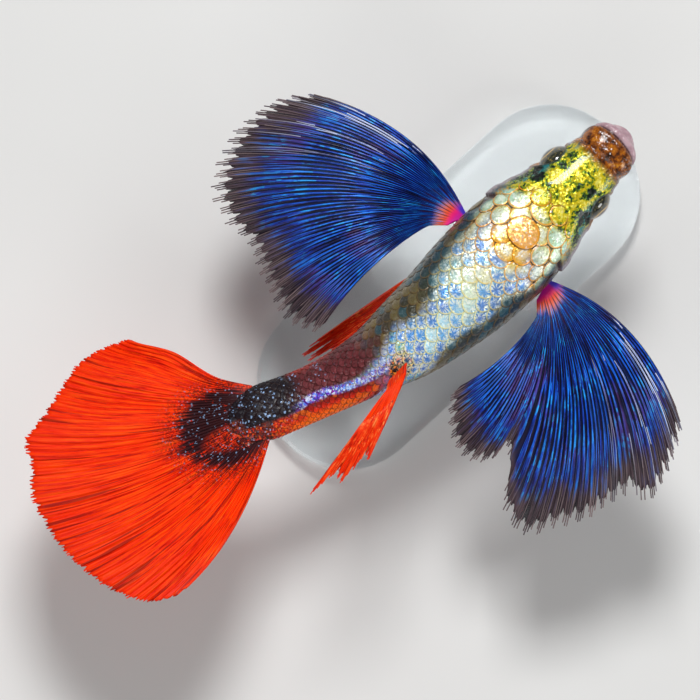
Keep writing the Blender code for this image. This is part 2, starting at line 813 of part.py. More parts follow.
def make_anal(collection):
    def ray_line(across):
        share = ANAL_BASE[0] + (ANAL_BASE[1] - ANAL_BASE[0]) * across
        root = body_point(share, 270, GAP + FIN_CLEARANCE)
        tailward, _, back = body_axes(share)
        tip = body_point(ANAL_BASE[1], 270, GAP) + tailward * ANAL_LENGTH
        tip = tip - back * (ANAL_TIP_DROP - ANAL_TAPER * across)
        control = root + tailward * ANAL_LENGTH * ANAL_BEND_REACH - back * ANAL_DROP
        return root, control, tip, Vector()

    def lift(across, t):
        return 0.0

    shape = (ANAL_RAYS, ANAL_ROWS, ANAL_THICKNESS)
    return fin_sheet("fin_anal", collection, shape, ray_line, lift, TAIL_FRINGE, 23)


def make_stand(parts, cutters):
    bm = bmesh.new()
    bmesh.ops.create_cube(bm, size=1.0)
    bmesh.ops.scale(bm, verts=bm.verts, vec=Vector((BASE_LENGTH, BASE_WIDTH, BASE_THICKNESS)) * MM)
    bmesh.ops.translate(bm, verts=bm.verts, vec=Vector((0, 0, BASE_THICKNESS / 2 * MM)))
    upright = [e for e in bm.edges if abs(e.verts[0].co.z - e.verts[1].co.z) > BASE_THICKNESS / 2 * MM]
    bmesh.ops.bevel(bm, geom=upright, offset=BASE_CORNER * MM, segments=8, affect="EDGES", profile=0.5)
    base = mesh_object("stand_base", parts, bm, smooth=False)
    edge = base.modifiers.new("edge", "BEVEL")
    edge.width = BASE_EDGE * MM
    edge.segments = 2
    edge.limit_method = "ANGLE"
    nose, tail = straight_edge(0.0), straight_edge(1.0)
    body = body_length("body_space", cutters, nose, tail, nose_steps(SPACE_RINGS), out=GAP)
    hide_tool(body)
    made = [base]
    for name, share in (("stand_rod_front", FRONT_ROD_SHARE), ("stand_rod_rear", REAR_ROD_SHARE)):
        foot = spine_point(share)
        bottom = BASE_THICKNESS + GAP
        bm = bmesh.new()
        bmesh.ops.create_cone(
            bm,
            cap_ends=True,
            segments=ROD_SIDES,
            radius1=ROD_RADIUS * MM,
            radius2=ROD_RADIUS * MM,
            depth=(AXIS_HEIGHT - bottom) * MM,
        )
        middle = Vector((foot.x, foot.y, (AXIS_HEIGHT + bottom) / 2))
        bmesh.ops.translate(bm, verts=bm.verts, vec=middle * MM)
        rod = mesh_object(name, parts, bm)
        made.append(cut(rod, parts, body))
    return made


def colour_parts(groups):
    for material, items in groups:
        for item in items:
            item.data.materials.clear()
            item.data.materials.append(material)


def main():
    clear_scene()
    parts = new_collection("fancy_guppy")
    cutters = new_collection("cutters", hidden=True)
    head = make_head(parts, cutters)
    jaw = make_lower_jaw(parts, cutters)
    eyes = []
    for side, word in ((1, "left"), (-1, "right")):
        radii = (EYE_RADIUS, EYE_HALF_DEPTH, EYE_RADIUS)
        eyes.append(ellipsoid(f"eye_{word}", parts, eye_centre(side), radii, 12, 20))
    trunk = make_trunk(parts)
    pectorals = [make_pectoral(parts, side) for side in (1, -1)]
    red_fins = [make_caudal(parts), make_dorsal(parts)]
    red_fins += [make_pelvic(parts, side) for side in (1, -1)]
    anal = make_anal(parts)
    stand = make_stand(parts, cutters)
    colour_parts((
        (principled("gold_head_skin", (0.62, 0.55, 0.16), 0.35, 0.35), [head]),
        (principled("pink_jaw_skin", (0.62, 0.36, 0.34), 0.3), [jaw]),
        (principled("dark_eye", (0.03, 0.03, 0.03), 0.08), eyes),
        (principled("pearl_blue_scales", (0.5, 0.62, 0.72), 0.3, 0.4), trunk[:2]),
        (principled("dark_red_scales", (0.3, 0.08, 0.07), 0.35, 0.25), trunk[2:]),
        (principled("blue_fin", (0.03, 0.09, 0.6), 0.35, 0.2), pectorals),
        (principled("red_fin", (0.85, 0.09, 0.02), 0.4), red_fins),
        (principled("amber_fin", (0.5, 0.28, 0.12), 0.4), [anal]),
        (principled("clear_acrylic", (0.9, 0.92, 0.93), 0.08, 0.0, 0.9), stand),
    ))


main()
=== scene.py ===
# %% [markdown]
# # A fancy guppy, dressed for display
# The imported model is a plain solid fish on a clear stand. This lesson gives it a skin,
# scales, eyes and fine fins. Everything is built in the same place as the solids, so
# nothing has to be fitted afterwards.

import json
import math

import bmesh
import bpy
import numpy as np
from mathutils import Matrix, Vector

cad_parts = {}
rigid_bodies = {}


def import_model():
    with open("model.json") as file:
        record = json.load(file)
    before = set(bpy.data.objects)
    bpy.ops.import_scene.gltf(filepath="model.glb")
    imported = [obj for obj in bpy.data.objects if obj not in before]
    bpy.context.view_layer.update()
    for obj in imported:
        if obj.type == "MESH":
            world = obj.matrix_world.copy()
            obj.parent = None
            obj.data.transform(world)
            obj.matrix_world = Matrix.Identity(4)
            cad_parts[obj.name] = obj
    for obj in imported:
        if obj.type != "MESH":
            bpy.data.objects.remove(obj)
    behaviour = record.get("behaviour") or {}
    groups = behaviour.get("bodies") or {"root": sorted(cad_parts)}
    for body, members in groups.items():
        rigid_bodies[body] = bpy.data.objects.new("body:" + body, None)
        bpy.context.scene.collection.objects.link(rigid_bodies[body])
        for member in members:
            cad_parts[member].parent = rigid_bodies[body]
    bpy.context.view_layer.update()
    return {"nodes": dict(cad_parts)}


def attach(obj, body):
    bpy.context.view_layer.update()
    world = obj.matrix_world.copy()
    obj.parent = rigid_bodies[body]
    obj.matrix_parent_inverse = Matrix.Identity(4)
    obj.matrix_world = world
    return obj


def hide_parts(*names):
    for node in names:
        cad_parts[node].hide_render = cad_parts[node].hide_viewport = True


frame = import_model()
MM = 0.001
BODY = "root"
print("solids:", ", ".join(sorted(frame["nodes"])))

# %% [markdown]
# ## The body as a formula
# A fish's body is a row of rounded sections along a spine that bends and rolls. The
# solids were lofted from a few tables of half widths and heights. The same tables are
# repeated here, so that a finer skin follows the same shape. NumPy works out many
# points at once, which is much faster than a loop.

# %% Body tables, in millimetres by share of the length
AXIS_HEIGHT = 16.0
SNOUT = np.array([18.3, -0.4, AXIS_HEIGHT])
STANDARD_LENGTH = 38.2
FRONT_HEADING, TAIL_BEND, BEND_START = -1.8, 23.0, 0.40
NOSE_SHARE = 0.045
FLESH_END = 0.955
END_THINNING, END_LOWERING = 0.72, 0.12
SPADE_START, SPADE_REACH = 0.9, 2.4
HALF_WIDTH = (
    (0.0, 1.5), (0.04, 2.0), (0.08, 2.35), (0.137, 2.75), (0.20, 3.35), (0.27, 4.1),
    (0.34, 4.3), (0.45, 4.15), (0.53, 3.75), (0.63, 3.2), (0.72, 2.25), (0.83, 1.4),
    (0.93, 0.95), (1.0, 0.7),
)
BACK_HEIGHT = (
    (0.0, 1.8), (0.04, 2.3), (0.137, 3.0), (0.25, 3.7), (0.40, 4.1), (0.55, 3.7),
    (0.63, 3.25), (0.72, 2.75), (0.83, 2.35), (0.93, 2.35), (1.0, 2.6),
)
BELLY_HEIGHT = (
    (0.0, 0.4), (0.04, -0.5), (0.08, -1.4), (0.137, -2.45), (0.20, -3.4), (0.30, -4.5),
    (0.40, -4.9), (0.50, -4.5), (0.60, -3.6), (0.72, -2.9), (0.83, -2.4), (0.93, -2.35),
    (1.0, -2.6),
)
WIDEST_HEIGHT = ((0.0, 1.2), (0.137, 0.5), (0.30, 0.2), (0.50, 0.0), (1.0, 0.0))
ROLL = (
    (0.0, 0.0), (0.35, 0.0), (0.50, 7.0), (0.63, 23.0), (0.75, 49.0), (0.88, 70.0),
    (1.0, 78.0),
)
HEAD_FULLNESS, TAIL_FULLNESS = 2.4, 2.0


def curve_at(table, at):
    """A smooth curve through the table's (place, value) pairs."""
    places, values = np.array(table, float).T
    slopes = np.empty(len(values))
    slopes[1:-1] = (values[2:] - values[:-2]) / (places[2:] - places[:-2])
    slopes[0] = (values[1] - values[0]) / (places[1] - places[0])
    slopes[-1] = (values[-1] - values[-2]) / (places[-1] - places[-2])
    at = np.clip(np.asarray(at, float), places[0], places[-1])
    k = np.clip(np.searchsorted(places, at, side="right") - 1, 0, len(places) - 2)
    span = places[k + 1] - places[k]
    t = (at - places[k]) / span
    return (
        (2 * t**3 - 3 * t**2 + 1) * values[k]
        + (t**3 - 2 * t**2 + t) * slopes[k] * span
        + (3 * t**2 - 2 * t**3) * values[k + 1]
        + (t**3 - t**2) * slopes[k + 1] * span
    )


def ease(value):
    """Rises softly from 0 to 1 while the value does."""
    value = np.clip(value, 0.0, 1.0)
    return value * value * (3 - 2 * value)


def bell(value, middle, width):
    """1 at the middle, and next to nothing two widths away from it."""
    return np.exp(-(((value - middle) / width) ** 2))


print("length of the body:", STANDARD_LENGTH, "mm")


# %% Sections of the body
def heading(share):
    """The way that the spine runs, in radians; the tail bends to the fish's left."""
    turn = ease((np.asarray(share) - BEND_START) / (1 - BEND_START))
    return np.radians(FRONT_HEADING + (TAIL_BEND - FRONT_HEADING) * turn)


SPINE_STEPS = 400
spine_turns = heading((np.arange(SPINE_STEPS) + 0.5) / SPINE_STEPS)
spine_moves = np.stack([-np.cos(spine_turns), np.sin(spine_turns), 0 * spine_turns], 1)
SPINE = SNOUT + np.vstack([np.zeros(3), np.cumsum(spine_moves, 0) * STANDARD_LENGTH / SPINE_STEPS])


def spine_at(share):
    place = np.clip(share, 0, 1) * SPINE_STEPS
    return np.stack(
        [np.interp(place, np.arange(SPINE_STEPS + 1), SPINE[:, k]) for k in range(3)], -1
    )


def axes_at(share):
    """The directions of the tail, the left flank and the back at these shares."""
    turn, roll = heading(share), np.radians(curve_at(ROLL, share))
    zero = np.zeros_like(turn)
    tailward = np.stack([-np.cos(turn), np.sin(turn), zero], -1)
    level_left = np.stack([np.sin(turn), np.cos(turn), zero], -1)
    up = np.stack([zero, zero, zero + 1], -1)
    cosine, sine = np.cos(roll)[..., None], np.sin(roll)[..., None]
    return tailward, level_left * cosine + up * sine, up * cosine - level_left * sine


def section_at(share, angle):
    """Points of the skin: 0 degrees is the left flank, 90 the back, 270 the belly."""
    share, angle = np.broadcast_arrays(np.asarray(share, float), np.asarray(angle, float))
    tailward, left, back = axes_at(share)
    turn = np.radians(angle)
    fullness = HEAD_FULLNESS + (TAIL_FULLNESS - HEAD_FULLNESS) * ease(share)
    nose = np.where(
        share < NOSE_SHARE, np.sqrt(np.clip(1 - (1 - share / NOSE_SHARE) ** 2, 0, 1)), 1.0,
    )
    middle = curve_at(WIDEST_HEIGHT, share)
    edge = np.where(np.sin(turn) >= 0, curve_at(BACK_HEIGHT, share), curve_at(BELLY_HEIGHT, share))
    close = ease((share - FLESH_END + 0.02) / 0.04)
    wide = curve_at(HALF_WIDTH, share) * nose * (1 - END_THINNING * close)
    tall = np.abs(edge - middle) * nose * (1 - END_LOWERING * close)
    across = np.sign(np.cos(turn)) * np.abs(np.cos(turn)) ** (2 / fullness) * wide
    upward = middle + np.sign(np.sin(turn)) * np.abs(np.sin(turn)) ** (2 / fullness) * tall
    tongue = np.clip(1 - (upward / np.abs(edge)) ** 2, 0, 1)
    reach = SPADE_REACH * ease((share - SPADE_START) / 0.08) * tongue
    onward = tailward * reach[..., None]
    return spine_at(share) + onward + left * across[..., None] + back * upward[..., None]


def outward_at(share, angle):
    """The direction straight out of the skin, from its slopes along and around."""
    behind = section_at(np.minimum(share + 0.004, 1.0), angle)
    along = behind - section_at(np.maximum(share - 0.004, 0.0), angle)
    around = section_at(share, np.asarray(angle) + 2) - section_at(share, np.asarray(angle) - 2)
    out = np.cross(along, around)
    return out / np.maximum(np.linalg.norm(out, axis=-1, keepdims=True), 1e-9)


def body_at(share, angle, out=0.0):
    """Points that lie some millimetres out from the smooth body."""
    share, angle, out = np.broadcast_arrays(*(np.asarray(v, float) for v in (share, angle, out)))
    return section_at(share, angle) + outward_at(share, angle) * out[..., None]


print("tip of the spine:", np.round(SPINE[-1], 2))

# %% [markdown]
# ## Relief of the head
# The skin of a guppy's head folds at the lips, behind the upper lip, round the eyes and
# at the rim of the gill cover. Each fold is a small height added to the smooth body, as
# a bell curve across the line that it follows. Sculpting would do the same by hand, but
# a formula keeps the folds exactly where the solids have them.

# %% Named places on the head
GILL_NAPE, GILL_SIDE, GILL_THROAT = 0.235, 0.298, 0.20
LIP_X, LIP_Z, MOUTH_SLOPE, CORNER_Z = 17.4, 2.15, 0.75, 0.35
CHIN_X = 15.6
EYE_SHARE, EYE_RADIUS, EYE_HALF_DEPTH, EYE_OUT, EYE_UP = 0.152, 1.5, 1.0, 2.2, 0.75
NOSTRIL_SHARE, NOSTRIL_ANGLE = 0.09, 62.0
COAT_DEPTH = 0.16
HEAD_AXIS_Y = -0.7
# (height in mm, place, width) of each fold
SNOUT_FOLDS = ((0.16, 0.05, 0.022), (-0.2, 0.078, 0.006))
LIP_FOLDS = ((0.14, 0.4, 0.26), (0.12, -0.42, 0.26), (-0.22, 0.0, 0.1))
GILL_BONES = ((0.05, -1.5, 0.3), (0.05, -3.0, 0.4))
NOSTRIL_FOLDS = ((0.07, 0.34, 0.12), (-0.32, 0.0, 0.17))
CHIN_CREASE, GILL_FLARE, GILL_GAP = 0.1, 0.2, 0.08


def gill_edge(angle):
    """The share of the length where the gill cover ends, at each angle round the head."""
    side = np.abs(np.cos(np.radians(angle))) ** 1.5
    middle = np.where(np.sin(np.radians(angle)) >= 0, GILL_NAPE, GILL_THROAT)
    return middle + (GILL_SIDE - middle) * side


def coat_edge(angle):
    """Where the scales begin: over the head at the nape, and at the gill on the flank."""
    return gill_edge(angle) - 0.03 * ease(np.sin(np.radians(angle)) * 1.6 - 0.6)


def mouth_distance(points):
    """How far in front of the mouth's slit each point lies, in millimetres."""
    slit = LIP_X - (LIP_Z - (points[..., 2] - AXIS_HEIGHT)) * MOUTH_SLOPE
    return (points[..., 0] - slit) / math.hypot(1, MOUTH_SLOPE)


def folded(height, value, folds):
    """Adds the bell curve of each fold to the height."""
    for high, place, width in folds:
        height = height + high * bell(value, place, width)
    return height


print("the head's places and folds are named")


# %% Folds of the head
def eye_centre(side):
    return spine_at(EYE_SHARE) + np.array([0, side * EYE_OUT, EYE_UP])


def head_relief(share, angle, points):
    """The height of the folds above the smooth body."""
    upper = ease(0.5 + np.sin(np.radians(angle)))
    height = upper * folded(0.0, share, SNOUT_FOLDS)
    level = points[..., 2] - AXIS_HEIGHT
    ahead = mouth_distance(points)
    near_mouth = ease((level - CORNER_Z + 0.5) / 0.6) * ease((0.09 - share) / 0.03)
    height = height + folded(0.0, ahead, LIP_FOLDS) * near_mouth
    under = ease((CORNER_Z - level) / 0.5)
    height = height - CHIN_CREASE * bell(points[..., 0], CHIN_X, 0.12) * under
    flank = ease((np.abs(np.cos(np.radians(angle))) - 0.62) / 0.25)
    behind = (share - gill_edge(angle)) * STANDARD_LENGTH
    flare = GILL_FLARE * flank * ease(1 + behind / 1.9) * (behind < 0)
    bone = folded(0.0, behind, GILL_BONES)
    height = height + flare - GILL_GAP * flank * bell(behind, 0.12, 0.16) - bone * flank
    for nostril in (NOSTRIL_ANGLE, 180 - NOSTRIL_ANGLE):
        gap = np.linalg.norm(points - body_at(NOSTRIL_SHARE, nostril), axis=-1)
        height = folded(height, gap, NOSTRIL_FOLDS)
    return height


def eye_ring(points):
    """The distance from the nearer eye's middle, in eye radii, seen from the side."""
    rings = [np.linalg.norm((points - eye_centre(side))[..., [0, 2]], axis=-1) for side in (1, -1)]
    near = np.where(points[..., 1] > spine_at(EYE_SHARE)[1], rings[0], rings[1])
    return near / EYE_RADIUS


print("mouth slit, crease, gill covers, eye rings and nostrils are named")


# %% Helpers that make meshes
def mesh_object(name, points, faces, smooth=True):
    mesh = bpy.data.meshes.new(name)
    mesh.from_pydata((np.asarray(points) * MM).tolist(), [], [list(map(int, f)) for f in faces])
    if smooth:
        mesh.shade_smooth()
    item = bpy.data.objects.new(name, mesh)
    bpy.context.scene.collection.objects.link(item)
    return item


def store(item, name, values):
    """Keeps one number for each point of the mesh, for its materials to read."""
    layer = item.data.attributes.new(name, "FLOAT", "POINT")
    layer.data.foreach_set("value", np.ascontiguousarray(values, np.float32).ravel())


def grid_faces(rows, columns, closed):
    """Quads of a grid, row by row; closed joins the last column to the first."""
    row, column = np.meshgrid(
        np.arange(rows - 1), np.arange(columns if closed else columns - 1), indexing="ij",
    )
    other = (column + 1) % columns
    corners = [
        row * columns + column, row * columns + other, (row + 1) * columns + other,
        (row + 1) * columns + column,
    ]
    return np.stack(corners, -1).reshape(-1, 4)


def set_uv(item, name, corner_uv):
    layer = item.data.uv_layers.new(name=name)
    layer.data.foreach_set("uv", np.ascontiguousarray(corner_uv, np.float32).ravel())


def point_of_corner(item):
    """The point that each corner of a face sits on."""
    index = np.empty(len(item.data.loops), int)
    item.data.loops.foreach_get("vertex_index", index)
    return index


def triangles(item):
    return sum(len(face.vertices) - 2 for face in item.data.polygons)


print("mesh helpers ready")

# %% [markdown]
# ## The skin
# One closed skin takes the place of the head, jaw, trunk and tail stalk, so that no
# seam shows. It is a fine grid of rings, crowded towards the snout, where the folds are
# small. Under the scales it lies lower by the depth of the coat. It also carries
# numbers for its materials: the share of the length, the angle round the body, the
# distance from the mouth's slit, from the gill edge and from the eyes.

# %% Make the skin
SKIN_RINGS, SKIN_SIDES, CROWDING = 300, 168, 1.25
SKIN_START, SKIN_END = 0.0004, 0.99
HEAD_START, HEAD_END, HEAD_MIDDLE = 0.08, 0.23, 0.9
SOCKET_DEPTH, LID_HEIGHT = 1.25, 0.1

ring_place = (np.arange(SKIN_RINGS) / (SKIN_RINGS - 1)) ** CROWDING
ring_share = SKIN_START + (SKIN_END - SKIN_START) * ring_place
side_angle = -90 + 360 * np.arange(SKIN_SIDES) / SKIN_SIDES
share, angle = np.meshgrid(ring_share, side_angle, indexing="ij")
base = section_at(share, angle)
coat = COAT_DEPTH * ease((share - coat_edge(angle) + 0.03) / 0.03)
skin_points = base + outward_at(share, angle) * (head_relief(share, angle, base) - coat)[..., None]
ring = eye_ring(base)
aside = base[..., 1] - HEAD_AXIS_Y
in_head = (share > HEAD_START) & (share < HEAD_END) & (np.abs(aside) > HEAD_MIDDLE)
socket = np.where(in_head, ease((1.0 - ring) / 0.12), 0)
rim = np.where(in_head, LID_HEIGHT * bell(ring, 1.12, 0.09), 0)
skin_points[..., 1] += np.sign(aside) * (rim - SOCKET_DEPTH * socket)
skin_points[..., 2] += 0.5 * rim

points = np.vstack([skin_points.reshape(-1, 3), skin_points[0].mean(0), skin_points[-1].mean(0)])
faces = [list(f) for f in grid_faces(SKIN_RINGS, SKIN_SIDES, True)]
nose_hub, tail_hub = len(points) - 2, len(points) - 1
last_ring = (SKIN_RINGS - 1) * SKIN_SIDES
for k in range(SKIN_SIDES):
    other = (k + 1) % SKIN_SIDES
    faces.append([nose_hub, other, k])
    faces.append([tail_hub, last_ring + k, last_ring + other])
skin = mesh_object("skin", points, faces)


def with_hubs(values, nose, tail):
    """Adds the numbers of the two points that close the ends."""
    return np.concatenate([np.asarray(values).ravel(), [nose, tail]])


FAR = 9
for name, values, nose, tail in (
    ("share", share, 0, 1), ("around", angle, 90, 90), ("mouth", mouth_distance(base), 1, -FAR),
    ("behind_gill", (share - gill_edge(angle)) * STANDARD_LENGTH, -FAR, FAR),
    ("eye_ring", np.where(in_head, ring, FAR), FAR, FAR),
):
    store(skin, name, with_hubs(values, nose, tail))
corner = point_of_corner(skin)
unwrapped = np.stack([with_hubs((angle + 90) / 360, 0.5, 0.5), with_hubs(share, 0, 1)], 1)[corner]
set_uv(skin, "OFBake", unwrapped)
print("skin:", triangles(skin), "triangles")

# %% [markdown]
# ## Materials from a few small tools
# Every finish here is procedural. A bench adds nodes to a tree, and each node hands back
# a field, which is the value that flows out of it. Fields can be added and multiplied,
# so a pattern reads like a sum. Uniform numbers such as the coat's roughness are typed
# on the shader itself, because an export reads them there.


# %% A field, the value that flows between nodes
class Field:
    """The result of a node. Sums, products and soft steps add the nodes that they need."""

    def __init__(self, bench, socket):
        self.bench, self.socket = bench, socket

    def __add__(self, other):
        return self.bench.maths("ADD", self, other)

    def __sub__(self, other):
        return self.bench.maths("SUBTRACT", self, other)

    def __rsub__(self, other):
        return self.bench.maths("SUBTRACT", other, self)

    def __mul__(self, other):
        return self.bench.maths("MULTIPLY", self, other)

    def __abs__(self):
        return self.bench.maths("ABSOLUTE", self)

    def at_least(self, other):
        return self.bench.maths("MAXIMUM", self, other)

    def band(self, low, high, start=0.0, end=1.0):
        """Moves smoothly from start to end while the value goes from low to high."""
        values = {"Value": self, "From Min": low, "From Max": high, "To Min": start, "To Max": end}
        return self.bench.node("ShaderNodeMapRange", values, interpolation_type="SMOOTHSTEP")

    def between(self, low, high, soft):
        """1 while the value lies between low and high, with soft ends."""
        rise = self.band(low - soft, low + soft)
        return rise * self.band(high - soft, high + soft, 1.0, 0.0)

    def ramp(self, stops):
        """A colour for each value, blended between stops of (value, colour)."""
        made = self.bench.tree.nodes.new("ShaderNodeValToRGB")
        elements = made.color_ramp.elements
        while len(elements) < len(stops):
            elements.new(0.5)
        for element, (place, colour) in zip(elements, stops):
            element.position = place
            element.color = (*colour, 1.0)
        self.bench.put(made.inputs[0], self)
        return Field(self.bench, made.outputs[0])

    def length(self):
        values = {0: self}
        return self.bench.node("ShaderNodeVectorMath", values, "Value", operation="LENGTH")

    def noise(self, scale, detail=2.0, roughness=0.5):
        values = {"Vector": self, "Scale": scale, "Detail": detail, "Roughness": roughness}
        return self.bench.node("ShaderNodeTexNoise", values)

    def parts(self, kind="ShaderNodeSeparateXYZ"):
        """The three numbers of a vector or a colour."""
        split = self.bench.node(kind, {0: self}).socket.node
        return [Field(self.bench, socket) for socket in split.outputs]

    def cells(self, scale):
        """A colour that jumps from one tiny cell to the next."""
        return self.bench.node("ShaderNodeTexVoronoi", {"Vector": self, "Scale": scale}, "Color")

    def flecks(self, scale):
        """Two numbers that jump from one tiny cell to the next."""
        return self.cells(scale).parts("ShaderNodeSeparateColor")[:2]


print("fields can be added, multiplied, blended and measured")


# %% A bench for nodes
class Bench:
    """Adds nodes to one tree and hands back a field for each result."""

    def __init__(self, tree):
        self.tree = tree

    def node(self, kind, values=(), output=0, **settings):
        made = self.tree.nodes.new(kind)
        for key, value in settings.items():
            setattr(made, key, value)
        for key, value in dict(values).items():
            self.put(made.inputs[key], value)
        return Field(self, made.outputs[output])

    def put(self, socket, value):
        """Links a field to a socket, or types a plain value on it."""
        if isinstance(value, Field):
            self.tree.links.new(value.socket, socket)
        elif isinstance(value, tuple) and len(value) == 3 and socket.type == "RGBA":
            socket.default_value = (*value, 1.0)
        else:
            socket.default_value = value

    def maths(self, operation, first, second=0.0, clamp=False):
        values = {0: first, 1: second}
        return self.node("ShaderNodeMath", values, operation=operation, use_clamp=clamp)

    def mix(self, share, low, high, blend="MIX"):
        """The low colour at a share of 0 and the high colour at 1."""
        made = self.tree.nodes.new("ShaderNodeMix")
        made.data_type, made.blend_type = "RGBA", blend
        for key, value in ((0, share), (6, low), (7, high)):
            self.put(made.inputs[key], value)
        return Field(self, made.outputs[2])

    def attribute(self, name):
        return self.node("ShaderNodeAttribute", output=2, attribute_name=name)

    def place(self):
        return self.node("ShaderNodeTexCoord", output="Object")

    def vector(self, x, y, z=0.0):
        return self.node("ShaderNodeCombineXYZ", {0: x, 1: y, 2: z})

    def vectors(self, operation, first, second):
        """A sum of two vectors, or with SCALE a vector times a number."""
        other = "Scale" if operation == "SCALE" else 1
        return self.node("ShaderNodeVectorMath", {0: first, other: second}, operation=operation)

    def glint(self, place, scale, amount):
        """A normal that leans a little differently in every tiny cell, like mirror flakes."""
        lean = self.vectors("SUBTRACT", place.cells(scale), (0.5, 0.5, 0.5))
        level = self.node("ShaderNodeNewGeometry", output="Normal")
        return self.vectors("ADD", level, self.vectors("SCALE", lean, amount))

    def ellipse(self, place, centre, turn, size):
        """1 on an ellipse drawn in plan round a centre in millimetres, less inside it."""
        values = {"Vector": place, "Location": tuple(v * MM for v in centre)}
        values["Rotation"], values["Scale"] = (0.0, 0.0, turn), (size[0] * MM, size[1] * MM, 1.0)
        return self.node("ShaderNodeMapping", values, vector_type="TEXTURE").length()

    def bump(self, height, distance, strength=1.0, over=None):
        values = {"Height": height, "Distance": distance, "Strength": strength}
        if over is not None:
            values["Normal"] = over
        return self.node("ShaderNodeBump", values)


print("the bench is ready")


# %% Groups and materials
def given_to(bench):
    """The fields that come into a tree from outside, by name."""
    outside = bench.tree.nodes.new("NodeGroupInput").outputs
    return {socket.name: Field(bench, socket) for socket in outside if socket.name}


def new_group(name, inputs, outputs):
    """A shader node group with named sockets, ready to be filled."""
    group = bpy.data.node_groups.new(name, "ShaderNodeTree")
    for label, kind, value in inputs:
        socket = group.interface.new_socket(label, in_out="INPUT", socket_type=kind)
        socket.default_value = value
    for label, kind in outputs:
        group.interface.new_socket(label, in_out="OUTPUT", socket_type=kind)
    bench = Bench(group)
    return group, bench, given_to(bench), group.nodes.new("NodeGroupOutput").inputs


def use_group(bench, group, **values):
    """Places a group in a tree, with its own values, and hands back all its results."""
    made = bench.tree.nodes.new("ShaderNodeGroup")
    made.node_tree = group
    for label, value in values.items():
        bench.put(made.inputs[label.replace("_", " ")], value)
    return [Field(bench, socket) for socket in made.outputs]


def new_material(name, **numbers):
    """A Principled material, its bench and its shader's sockets, with plain numbers set."""
    material = bpy.data.materials.new(name)
    material.use_nodes = True
    shader = material.node_tree.nodes["Principled BSDF"]
    for label, value in numbers.items():
        shader.inputs[label.replace("_", " ").title().replace("Ior", "IOR")].default_value = value
    return material, Bench(material.node_tree), shader.inputs


print("groups and materials can be made")

# %% [markdown]
# ## The markings, shared by skin and scales
# A guppy's colours lie in fields along its body: lime and gold on the head, peach at the
# nape, ice blue down the back, olive on the flanks, and red, maroon and black on the
# stalk of the tail. Skin and scales must agree, so the fields are one node group that
# reads only the share of the length and the angle round the body. Two smaller groups
# serve it. The first is the black patch where the stalk meets the tail fin: an ellipse
# in plan with a frayed rim, loose specks round it and a bed of red embers left open.

# %% Black patch at the root of the tail fin
PATCH_BLACK = (0.01, 0.006, 0.01)
PATCH_TURN = math.radians(-23.0)
PATCH = ((-20.5, 3.7, AXIS_HEIGHT), (4.0, 3.2))
EMBERS = ((-20.3, 2.7, AXIS_HEIGHT), (2.6, 1.0))

tail_patch, bench, given, result = new_group(
    "tail_patch", [("Fray", "NodeSocketFloat", 0.5)],
    [("Black", "NodeSocketFloat"), ("Spark", "NodeSocketFloat")],
)
place = bench.place()
rim_of = bench.ellipse(place, PATCH[0], PATCH_TURN, PATCH[1])
frayed = rim_of + (given["Fray"] - 0.5)
embers = bench.ellipse(place, EMBERS[0], PATCH_TURN, EMBERS[1]).band(0.6, 1.2, 1.0, 0.0)
blotch = place.noise(1300.0, 4.0, 0.65)
solid = frayed.band(0.84, 1.05, 1.0, 0.0) * blotch.band(0.35, 0.41)
solid = solid * (1.0 - embers * 0.8)
fleck, bright = place.flecks(8200.0)
loose = fleck.band(0.45, 0.55) * frayed.band(0.8, 1.55, 1.0, 0.0)
black = solid.at_least(loose * 0.9)
bench.put(result["Black"], black)
bench.put(result["Spark"], black * bright.band(0.94, 0.97) * 0.8)
print("tail patch:", len(tail_patch.nodes), "nodes")

# %% [markdown]
# ## Glitter on the crown
# The crown is gold and lime grains on dark green, with a few darker spots that lie the
# same way on both sides. One level runs from dark to bright: specks and clouds raise
# it, the spots lower it, and a ramp turns it into the colours.

# %% Crown glitter
DEGREE_WIDTH = 0.055
crown, bench, given, result = new_group(
    "crown_glitter", [("Share", "NodeSocketFloat", 0.2), ("From Back", "NodeSocketFloat", 0.0)],
    [("Colour", "NodeSocketColor"), ("Mask", "NodeSocketFloat")],
)
DARK_SPOTS = (
    (0.143, 29.0, 0.5, 0.55), (0.16, 62.0, 1.3, 0.6), (0.192, 45.0, 0.9, 0.55),
    (0.225, 62.0, 0.9, 0.4),
)
place = bench.place()
fleck, _ = place.flecks(6000.0)
clouds = place.noise(1250.0, 5.0, 0.66) - 0.5
level = fleck * 0.42 + (clouds * 3.0 + 0.41)
for spot_share, spot_angle, reach, depth in DARK_SPOTS:
    ahead = (given["Share"] - spot_share) * (STANDARD_LENGTH / reach)
    aside = (given["From Back"] - spot_angle) * (DEGREE_WIDTH / reach)
    near = bench.vector(ahead, aside).length()
    level = level - near.band(0.3, 1.3, depth, 0.0)
colour = level.at_least(0.0).ramp([
    (0.0, (0.002, 0.006, 0.004)), (0.2, (0.005, 0.03, 0.012)), (0.34, (0.07, 0.16, 0.008)),
    (0.48, (0.28, 0.34, 0.006)), (0.68, (0.66, 0.5, 0.006)), (0.86, (0.74, 0.6, 0.015)),
    (1.0, (0.82, 0.76, 0.12)),
])
teal = given["From Back"].between(42.0, 76.0, 8.0) * clouds.band(0.0, 0.12)
bench.put(result["Colour"], bench.mix(teal, colour, (0.015, 0.20, 0.22)))
from_back = given["From Back"] + clouds * 60.0
end = given["Share"] + clouds * 0.08
mask = end.between(0.085, 0.25, 0.014) * from_back.band(66.0, 82.0, 1.0, 0.0)
bench.put(result["Mask"], mask)
print("crown glitter:", len(crown.nodes), "nodes")

